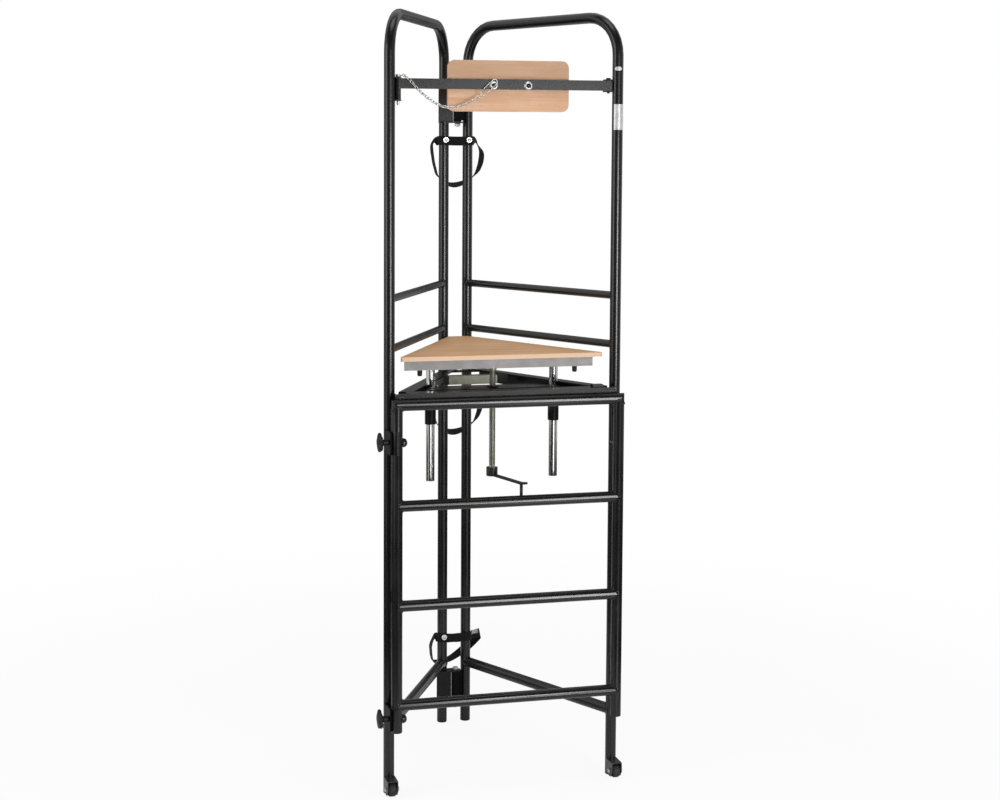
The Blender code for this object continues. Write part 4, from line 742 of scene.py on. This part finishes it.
def retaining_chain(zinc):
    """Welded links from the drop pin's ring to a hook on the backrest's left bolt."""
    ring = across("drop_pin")[1]
    start = Vector((ring.x - 0.0035, -0.0050, ring.z - 0.0035))
    line = smooth_route([start] + [Vector((x, CHAIN_Y, BAR_Z + rise)) for x, rise in CHAIN_HANG], 12)
    model = drawn_ring("chain_link", LINK_RADIUS, LINK_WIRE, LINK_STRAIGHT, (16, 8))
    links, walked = [], 0.0
    for a, b in zip(line, line[1:]):
        span = (b - a).length
        while walked <= span:
            place = a.lerp(b, walked / span)
            ahead = (b - a).normalized()
            turn = ahead.to_track_quat("X", "Z").to_matrix().to_4x4()
            roll = Matrix.Rotation(math.radians(45 + 90 * (len(links) % 2)), 4, "X")
            links.append(copy_to(model, "link", Matrix.Translation(ORIGIN + place) @ turn @ roll))
            walked += LINK_PITCH
        walked -= span
    bpy.data.objects.remove(model)
    chain = settle(join("retaining_chain_links", links), zinc, 60)
    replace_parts(chain, "retaining_chain")
    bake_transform(chain)

    low = Vector((HOOK_LOW[0], 0, BAR_Z - HOOK_LOW[1]))
    high = Vector((HOOK_HIGH[0], 0, BAR_Z - HOOK_HIGH[1]))
    straight = (high - low).length - 2 * (HOOK_RADIUS + HOOK_WIRE)
    hook = drawn_ring("chain_hook", HOOK_RADIUS, HOOK_WIRE, straight, (40, 12))
    middle = (low + high) / 2
    slope = math.atan2(high.z - low.z, high.x - low.x)
    hook.matrix_world = (Matrix.Translation(at(middle.x, CHAIN_Y, middle.z))
                         @ Matrix.Rotation(-slope, 4, "Y") @ Matrix.Rotation(math.pi / 2, 4, "X"))
    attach(settle(hook, zinc, 60), "backrest_bar")


# Round pieces
ROUND_NODES = (
    "frame_tube_left", "frame_tube_right", "ladder_stile_left", "ladder_stile_right", "ladder_top_tube",
    "ladder_rung_1", "ladder_rung_2", "ladder_rung_3", "hinge_barrel_upper", "hinge_barrel_lower",
    "guide_channel", "crank", "drop_pin", "wheel_left", "wheel_right",
    *(f"side_rung_{level}_{word}" for level in LEVELS for _, word in SIDES),
    *(f"foot_plug_{end}_{word}" for end in ("front", "rear") for _, word in SIDES))


def smooth_rounds():
    """Merged copies of the round CAD pieces, shaded smooth, so that light runs along each in one clean line."""
    behaviour = frame["record"]["behaviour"]
    body_of = {name: body for body, names in behaviour["bodies"].items() for name in names}
    for name in ROUND_NODES:
        finish = NODES[name].data.materials[0]
        piece = copy_to(NODES[name], name + "_smooth", Matrix.Identity(4))
        piece.parent = None
        piece.matrix_world = Matrix.Identity(4)
        only(piece)
        edit_all()
        bpy.ops.mesh.remove_doubles(threshold=0.00001)
        leave_edit()
        settle(piece, finish, 30)
        apply_modifier(piece, "WEIGHTED_NORMAL", mode="FACE_AREA", weight=50, keep_sharp=True)
        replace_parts(piece, name)
        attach(piece, body_of[name])


# Bumpers
def bumpers(rubber):
    """The two rubber bumpers under the platform's frame, drawn in a little towards the foot."""
    for _, word in SIDES:
        low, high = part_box("bumper_" + word)
        height = high.z - low.z
        profile = [(0, 0), (0.0048, 0), (0.0060, 0.0008), (0.0068, 0.0030), (0.0078, height * 0.7),
                   (0.0084, height - 0.0008), (0.0084, height), (0, height)]
        piece = lay(turned("bumper_cone_" + word, profile, 28),
                    Vector(((low.x + high.x) / 2, (low.y + high.y) / 2, low.z)), (0, 0, 1))
        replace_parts(settle(piece, rubber), "bumper_" + word)
        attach(piece, "platform")


# Hinge lips
LEAF_EDGE_X, LEAF_Y = -0.0150, (0.5262, 0.5302)  # the hinge leaf's edge by the barrel, and its two faces
LIP_OVERLAP = 0.0006  # how far the lip runs into the leaf


def hinge_lips(black):
    """The lip that each hinge leaf runs out to, close up to the barrel that it turns round."""
    for level in ("upper", "lower"):
        low, high = across("hinge_barrel_" + level)
        left, right = LEAF_EDGE_X - LIP_OVERLAP, low.x - GAP
        lip = start_piece("cube", "hinge_lip_" + level, size=1,
                          location=at((left + right) / 2, sum(LEAF_Y) / 2, (low.z + high.z) / 2),
                          scale=(right - left, LEAF_Y[1] - LEAF_Y[0] - 2 * TOUCH, high.z - low.z))
        fix_place(lip)
        bevel(lip, 0.0005, 3)
        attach(settle(lip, black), "left_frame")


# Clamp knobs
KNOB_LOBES = 5
KNOB_CORE, KNOB_RIM = 0.010, 0.013  # the round core, and the ring outside it over which the lobes come in
NOTCH = 0.26  # how far in, as a share of the radius, the rim goes between two lobes
KNOB_LENGTH = 0.034  # head and neck, to where the screw starts
KNOB_PROFILE = (
    (0, 0.0035), (0.0090, 0.0035), (0.0110, 0.0042), (0.0190, 0.0052), (0.0250, 0.0068), (0.0275, 0.0090),
    (0.0280, 0.0115), (0.0272, 0.0140), (0.0245, 0.0158), (0.0180, 0.0166), (0.0120, 0.0172),
    (0.0095, 0.0190), (0.0082, 0.0230), (0.0078, 0.0355), (0, 0.0355))


def clamp_knobs(plastic):
    """The two star knobs: a domed face drawn in between five lobes, a neck and a clamp screw."""
    for level in ("upper", "lower"):
        low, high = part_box("star_knob_" + level)
        middle = (low + high) / 2
        knob = turned("star_knob_body", KNOB_PROFILE, 80)
        for corner in knob.data.vertices:
            reach, turn = math.hypot(corner.co.x, corner.co.y), math.atan2(corner.co.y, corner.co.x)
            share = max(0.0, min(1.0, (reach - KNOB_CORE) / KNOB_RIM))
            notch = (0.5 - 0.5 * math.cos(KNOB_LOBES * turn)) ** 1.5
            corner.co.xy *= 1 - NOTCH * share * share * notch
        lay(knob, Vector((low.x, middle.y, middle.z)), (1, 0, 0))
        screw = start_piece("cylinder", "clamp_screw", vertices=20, radius=0.005,
                            depth=high.x - low.x - KNOB_LENGTH, rotation=(0, math.pi / 2, 0),
                            location=((high.x + low.x + KNOB_LENGTH) / 2, middle.y, middle.z))
        fix_place(screw)
        bevel(screw, 0.0008, 2)
        piece = settle(join("clamp_knob_" + level, [knob, screw]), plastic, 40)
        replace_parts(piece, "star_knob_" + level)
        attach(piece, "knob_" + level)


# Spindle
THREAD_PITCH, CREST, ROOT = 0.004, 0.0090, 0.0077
NUT_R, NECK_R, COLLAR_R = 0.011, 0.006, 0.012
NUT_LOW, COLLAR_TOP, COLLAR_LOW = 0.010, 0.0156, 0.0216  # down from the spindle's top
THREAD_STARTS, THREAD_ENDS = 0.030, 0.034  # up from its foot, and down from its top


def spindle(olive):
    """The lift's spindle with its rolled thread, hung by a collar and a nut."""
    low, high = across("spindle")
    lift_y = middle_of("spindle").y - ORIGIN.y
    thread_low, thread_high = low.z + THREAD_STARTS, high.z - THREAD_ENDS
    turns = int((thread_high - thread_low) / THREAD_PITCH)
    rib = start_point("spindle_thread", ROOT, 0)
    for out, up in ((0, 0.0010), (CREST - ROOT, 0.0006), (0, 0.0018), (ROOT - CREST, 0.0006)):
        bpy.ops.mesh.extrude_vertices_move(TRANSFORM_OT_translate={"value": (out, 0, up)})
    leave_edit()
    apply_modifier(rib, "SCREW", angle=2 * math.pi, screw_offset=THREAD_PITCH, iterations=turns, steps=20,
                   render_steps=20, use_merge_vertices=True, merge_threshold=0.00002)
    rib.location = at(0, lift_y, thread_low)
    core = turned("spindle_core", [
        (0, high.z), (NUT_R - 0.0005, high.z), (NUT_R, high.z - 0.0008), (NUT_R, high.z - NUT_LOW),
        (NECK_R, high.z - NUT_LOW), (NECK_R, high.z - COLLAR_TOP), (COLLAR_R, high.z - COLLAR_TOP),
        (COLLAR_R, high.z - COLLAR_LOW), (CREST, high.z - COLLAR_LOW), (CREST, thread_high + 0.002),
        (ROOT, thread_high), (ROOT, thread_low + 0.001), (CREST, thread_low - 0.001),
        (CREST, low.z + 0.002), (CREST - 0.002, low.z), (0, low.z)], 32)
    core.location = at(0, lift_y, 0)
    piece = settle(join("threaded_spindle", [core, rib]), olive, 40)
    edit_all()
    bpy.ops.mesh.normals_make_consistent(inside=False)
    leave_edit()
    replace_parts(piece, "spindle")
    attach(piece, "crank")


# Welds
SIDE_RUNG_R = {"upper": 0.011, "middle": 0.011, "lower": LEG_R}
LADDER_Y = -0.062  # the ladder's middle, ahead of the front legs
STILE_INSET = 0.009  # a stile's middle, in from the leg's
BEAD_STEPS = 8  # points round a bead's own section


def weld_bead(place, direction, tube):
    """A bead round a tube's end where it meets a leg: a ring rippled by the welder, sunk to the leg's curve."""
    bead = start_piece("torus", "weld", major_segments=40, minor_segments=BEAD_STEPS,
                       major_radius=tube + 0.0006, minor_radius=0.0019)
    fix_place(lay(bead, place, direction))
    ahead = Vector(direction).normalized()
    side = Vector((0, 0, 1)).cross(ahead) if abs(ahead.z) < 0.5 else Vector((0, 1, 0))
    for number, corner in enumerate(bead.data.vertices):
        off = corner.co - place
        reach = min(abs(off.dot(side)), LEG_R)
        ripple = 0.00025 * math.sin(number // BEAD_STEPS * 2.4)
        corner.co -= ahead * (LEG_R - math.sqrt(LEG_R * LEG_R - reach * reach) + ripple)
    return bead


def welds(black):
    """Weld beads at both ends of every rung and of the ladder's top tube."""
    beads = {"left_frame": [], "right_frame": [], "ladder": []}
    for side, word in SIDES:
        slope = Vector((side * (HALF_REAR - HALF_FRONT), DEPTH, 0)).normalized()
        for level in LEVELS:
            z = middle_of(f"side_rung_{level}_{word}").z
            for x, y, way in ((HALF_FRONT, 0, slope), (HALF_REAR, DEPTH, -slope)):
                bead = weld_bead(at(side * x, y, z) + way * LEG_R, way, SIDE_RUNG_R[level])
                beads[word + "_frame"].append(bead)
        stile_x = side * (HALF_FRONT - STILE_INSET)
        for number in (1, 2, 3):
            z = middle_of(f"ladder_rung_{number}").z
            beads["ladder"].append(weld_bead(at(stile_x - side * LEG_R, LADDER_Y, z), (-side, 0, 0), LEG_R))
        top = middle_of("ladder_top_tube").z
        beads["ladder"].append(weld_bead(at(stile_x, LADDER_Y, top - LEG_R), (0, 0, -1), LEG_R))
    for body, made in beads.items():
        piece = settle(join("welds_" + body, made), black, 60)
        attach(piece, body)


# Patches on the right front leg
PATCH_SIZE, PATCH_Z = (0.040, 0.072, 1), 1.902
OVAL_SIZE, OVAL_Z = (0.0105, 0.0058, 1), 2.0375
PATCH_ASIDE = 0.25  # each is turned this far from the front, in radians


def wrap_on_leg(piece, centre, aside):
    """Lays a flat piece, drawn facing the front, round the leg, turned a little aside."""
    for corner in piece.data.vertices:
        turn, lift = corner.co.x / LEG_R + aside, -corner.co.y
        radius = LEG_R + 0.0002 + lift
        corner.co = centre + Vector((radius * math.sin(turn), -radius * math.cos(turn), corner.co.z))


def leg_patches(foil):
    """A bare foil patch and a small oval one under the right frame's bend."""
    patch = start_piece("grid", "foil_patch", x_subdivisions=24, y_subdivisions=6, size=1,
                        rotation=(math.pi / 2, 0, 0))
    patch.scale = PATCH_SIZE
    fix_place(patch)
    wrap_on_leg(patch, at(HALF_FRONT, 0, PATCH_Z), PATCH_ASIDE)
    apply_modifier(patch, "SOLIDIFY", thickness=0.0002, offset=1)
    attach(settle(patch, foil), "right_frame")

    oval = start_piece("circle", "oval_patch", vertices=32, radius=1, fill_type="NGON",
                       rotation=(math.pi / 2, 0, 0))
    oval.scale = OVAL_SIZE
    fix_place(oval)
    edit_all()
    for inset in (0.0012, 0.0012, 0.0009):
        bpy.ops.mesh.inset(thickness=inset)
    leave_edit()
    wrap_on_leg(oval, at(HALF_FRONT, 0, OVAL_Z), -PATCH_ASIDE)
    apply_modifier(oval, "SOLIDIFY", thickness=0.0006, offset=1)
    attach(settle(oval, foil), "right_frame")


# Stage
def camera():
    """The photograph's own viewpoint, with the frame offset that its crop needs."""
    data = bpy.data.cameras.new("photo_camera")
    data.lens, data.sensor_width = 60.80, 36
    data.shift_x, data.shift_y = 0.0859, -0.1206
    data.clip_end = 100
    made = bpy.data.objects.new("photo_camera", data)
    bpy.context.scene.collection.objects.link(made)
    yaw, pitch, roll = (math.radians(angle) for angle in (13.195, 4.302, 0.121))
    ahead = Vector((math.sin(yaw) * math.cos(pitch), math.cos(yaw) * math.cos(pitch), -math.sin(pitch)))
    level = Vector((math.cos(yaw), -math.sin(yaw), 0))
    up = level.cross(ahead)
    right = level * math.cos(roll) + up * math.sin(roll)
    up = up * math.cos(roll) - level * math.sin(roll)
    place = at(-1.3241, -4.5400, 1.8015)
    made.matrix_world = Matrix.Translation(place) @ Matrix((right, up, -ahead)).transposed().to_4x4()
    bpy.context.scene.camera = made


def soft_light(name, place, aim, size, radiance):
    """A softbox whose face has the given radiance."""
    data = bpy.data.lights.new(name, "AREA")
    data.shape, data.size, data.size_y = "RECTANGLE", size[0], size[1]
    data.energy = radiance * math.pi * size[0] * size[1]
    made = bpy.data.objects.new(name, data)
    made.location = place
    made.rotation_mode = "QUATERNION"
    made.rotation_quaternion = (Vector(aim) - Vector(place)).to_track_quat("-Z", "Y")
    bpy.context.scene.collection.objects.link(made)


def card(name, size, place, turn, tone):
    """A studio card that is only seen in reflections."""
    bpy.ops.mesh.primitive_plane_add(size=1, location=place, rotation=[math.radians(angle) for angle in turn])
    made = bpy.context.object
    made.name, made.scale = name, (size[0], size[1], 1)
    made.visible_camera = made.visible_diffuse = made.visible_shadow = False
    made.visible_transmission = made.visible_volume_scatter = False
    paper = Finish(name, base_color=(0, 0, 0), roughness=1.0, specular_ior_level=0.0,
                   emission_color=(1, 1, 1), emission_strength=tone)
    made.data.materials.append(paper.material)


def studio():
    """A white surround that the camera and the reflections see, dark cards in front, and three softboxes."""
    world = bpy.data.worlds.new("studio")
    bpy.context.scene.world = world
    world.use_nodes = True
    tree = world.node_tree
    tree.nodes.clear()
    rays = tree.nodes.new("ShaderNodeLightPath")
    seen = Shade(tree, rays.outputs["Is Camera Ray"])
    for name in ("Is Glossy Ray", "Is Transmission Ray"):
        seen = seen.math("MAXIMUM", seen, Shade(tree, rays.outputs[name]))
    light = node(tree, "ShaderNodeBackground", None, {"Color": (1, 1, 1, 1), "Strength": seen * 0.4 + 0.6})
    node(tree, "ShaderNodeOutputWorld", None, {"Surface": light})

    bpy.ops.mesh.primitive_plane_add(size=40, location=(0, 0, 0))
    floor = bpy.context.object
    floor.name = "floor"
    paper = Finish("pale_floor", base_color=(0.86, 0.86, 0.86), roughness=0.6, specular_ior_level=0.2)
    rays = paper.node("ShaderNodeLightPath", result="Is Camera Ray")
    white = paper.node("ShaderNodeEmission", None, {"Color": (1, 1, 1, 1), "Strength": 1.0})
    away = paper.node("ShaderNodeVectorMath", {"operation": "LENGTH"}, {0: paper.place}, "Value")
    surface = paper.node("ShaderNodeMixShader", None, {
        0: rays * (away.over(0.9, 3.0) * 0.10 + 0.90), 1: Shade(paper.tree, paper.shader.outputs[0]), 2: white})
    paper.tree.links.new(surface.socket, paper.tree.nodes["Material Output"].inputs["Surface"])
    floor.data.materials.append(paper.material)

    card("front_floor_card", (12, 6), (0, -4.1, 0.004), (0, 0, 0), 0.02)
    for side, word in SIDES:
        card(word + "_floor_card", (5, 4), (side * 3.6, 0.9, 0.004), (0, 0, 0), 0.02)
    card("front_wall_card", (12, 6), (0, -6.8, 3.0), (90, 0, 0), 0.15)
    card("left_wall_card", (5.0, 6), (-5.2, -4.3, 3.0), (90, 0, 90), 0.12)
    card("right_wall_card", (8.0, 6), (5.2, -2.8, 3.0), (90, 0, 90), 0.45)
    card("ceiling_card", (12, 7.5), (0, -3.0, 5.6), (0, 0, 0), 0.05)
    card("floor_glare", (0.42, 3.0), (0.95, -2.55, 0.008), (0, 0, 22), 2.4)

    card("key_card", (0.48, 1.2), (0.80, -4.60, 1.25), (90, 0, 0), 9)
    card("low_front_card", (2.5, 0.62), (0.85, -4.58, 0.32), (90, 0, 0), 1.7)
    card("low_left_card", (1.6, 0.92), (-3.25, -1.2, 0.47), (90, 0, 70), 0.90)
    card("back_wall_card", (14, 7), (0, 6.5, 3.5), (90, 0, 0), 0.25)

    soft_light("key_softbox", (1.60, -4.60, 1.25), (0, 0, 1.10), (1.1, 1.2), 19)
    soft_light("left_softbox", (-3.2, -1.2, 2.0), (0, 0, 1.5), (1.5, 2.1), 3.4)
    soft_light("top_softbox", (0.2, -0.9, 4.8), (0, 0.1, 1.0), (2.4, 1.6), 2.5)


# Finishes on the CAD nodes
def dress(finish, *names):
    """Gives the named nodes this finish and no other."""
    for name in names:
        cover(NODES[name], finish)


def finishes():
    """Gives every node its finish, and hands back the finishes that the added pieces share."""
    black, zinc, olive = black_powder_coat(), zinc_plate(), olive_steel("olive_steel")
    webbing = black_webbing()
    dress(black, *NODES)
    dress(black_powder_coat("flat_black_coat", 0.02), "clamp_tab_upper", "clamp_tab_lower",
          "hinge_barrel_upper", "hinge_barrel_lower")
    dress(black_powder_coat("dull_black_coat", 0.4), "bar_clevis",
          "tray_front_angle", "tray_side_angle_left", "tray_side_angle_right", "guide_channel",
          "hinge_bracket_upper", "hinge_bracket_lower")
    dress(fork_coat(), "wheel_fork_left", "wheel_fork_right")
    dress(platform_grey(), "platform_front_angle", "platform_side_angle_left", "platform_side_angle_right")
    dress(olive, "spindle")
    tube_x = middle_of("tray_rear_tube").x
    dress(olive_steel("olive_tube_with_black_ends", (tube_x - 0.083, tube_x + 0.066)), "tray_rear_tube")
    dress(zinc, "drop_pin", "retaining_chain")
    for level in ("upper", "lower"):
        dress(hinge_zinc("hinge_bolt_" + level), "hinge_bolt_" + level)
    dress(guide_chrome(), "lift_carriage")
    dress(crank_steel(), "crank")
    dress(webbing, *("post_strap_" + level for level in LEVELS))
    rubber = black_rubber()
    dress(rubber, "bumper_left", "bumper_right", "wheel_left", "wheel_right")
    plastic = black_plastic()
    dress(plastic, "star_knob_upper", "star_knob_lower",
          *(f"foot_plug_{end}_{word}" for end in ("front", "rear") for _, word in SIDES))
    dress(beech_plywood("platform_beech", 2, 0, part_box("platform_board")[0].z, (0.76, 0.450, 0.226),
                        (0.86, 0.530, 0.290), (0.79, 0.55, 0.36), (0.62, 0.350, 0.168)), "platform_board")
    # the backrest's veneer carries painted shade, darker from its bolts upwards
    dress(beech_plywood("backrest_beech", 1, 0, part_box("backrest_board")[0].y, (0.65, 0.38, 0.222),
                        (0.74, 0.46, 0.29), (0.72, 0.44, 0.27), (0.60, 0.335, 0.185),
                        (BOLT_Z, BOLT_Z + 0.045)), "backrest_board")
    return black, zinc, olive, webbing, plastic, rubber


bpy.context.scene.view_settings.view_transform = "Standard"
BLACK, ZINC, OLIVE, WEBBING, PLASTIC, RUBBER = finishes()
post_straps(WEBBING, ZINC)
retaining_chain(ZINC)
hardware(ZINC, BLACK)
backrest_bolts(BLACK)
smooth_rounds()
bumpers(RUBBER)
hinge_lips(BLACK)
clamp_knobs(PLASTIC)
spindle(OLIVE)
welds(BLACK)
leg_patches(silver_foil())
studio()
camera()
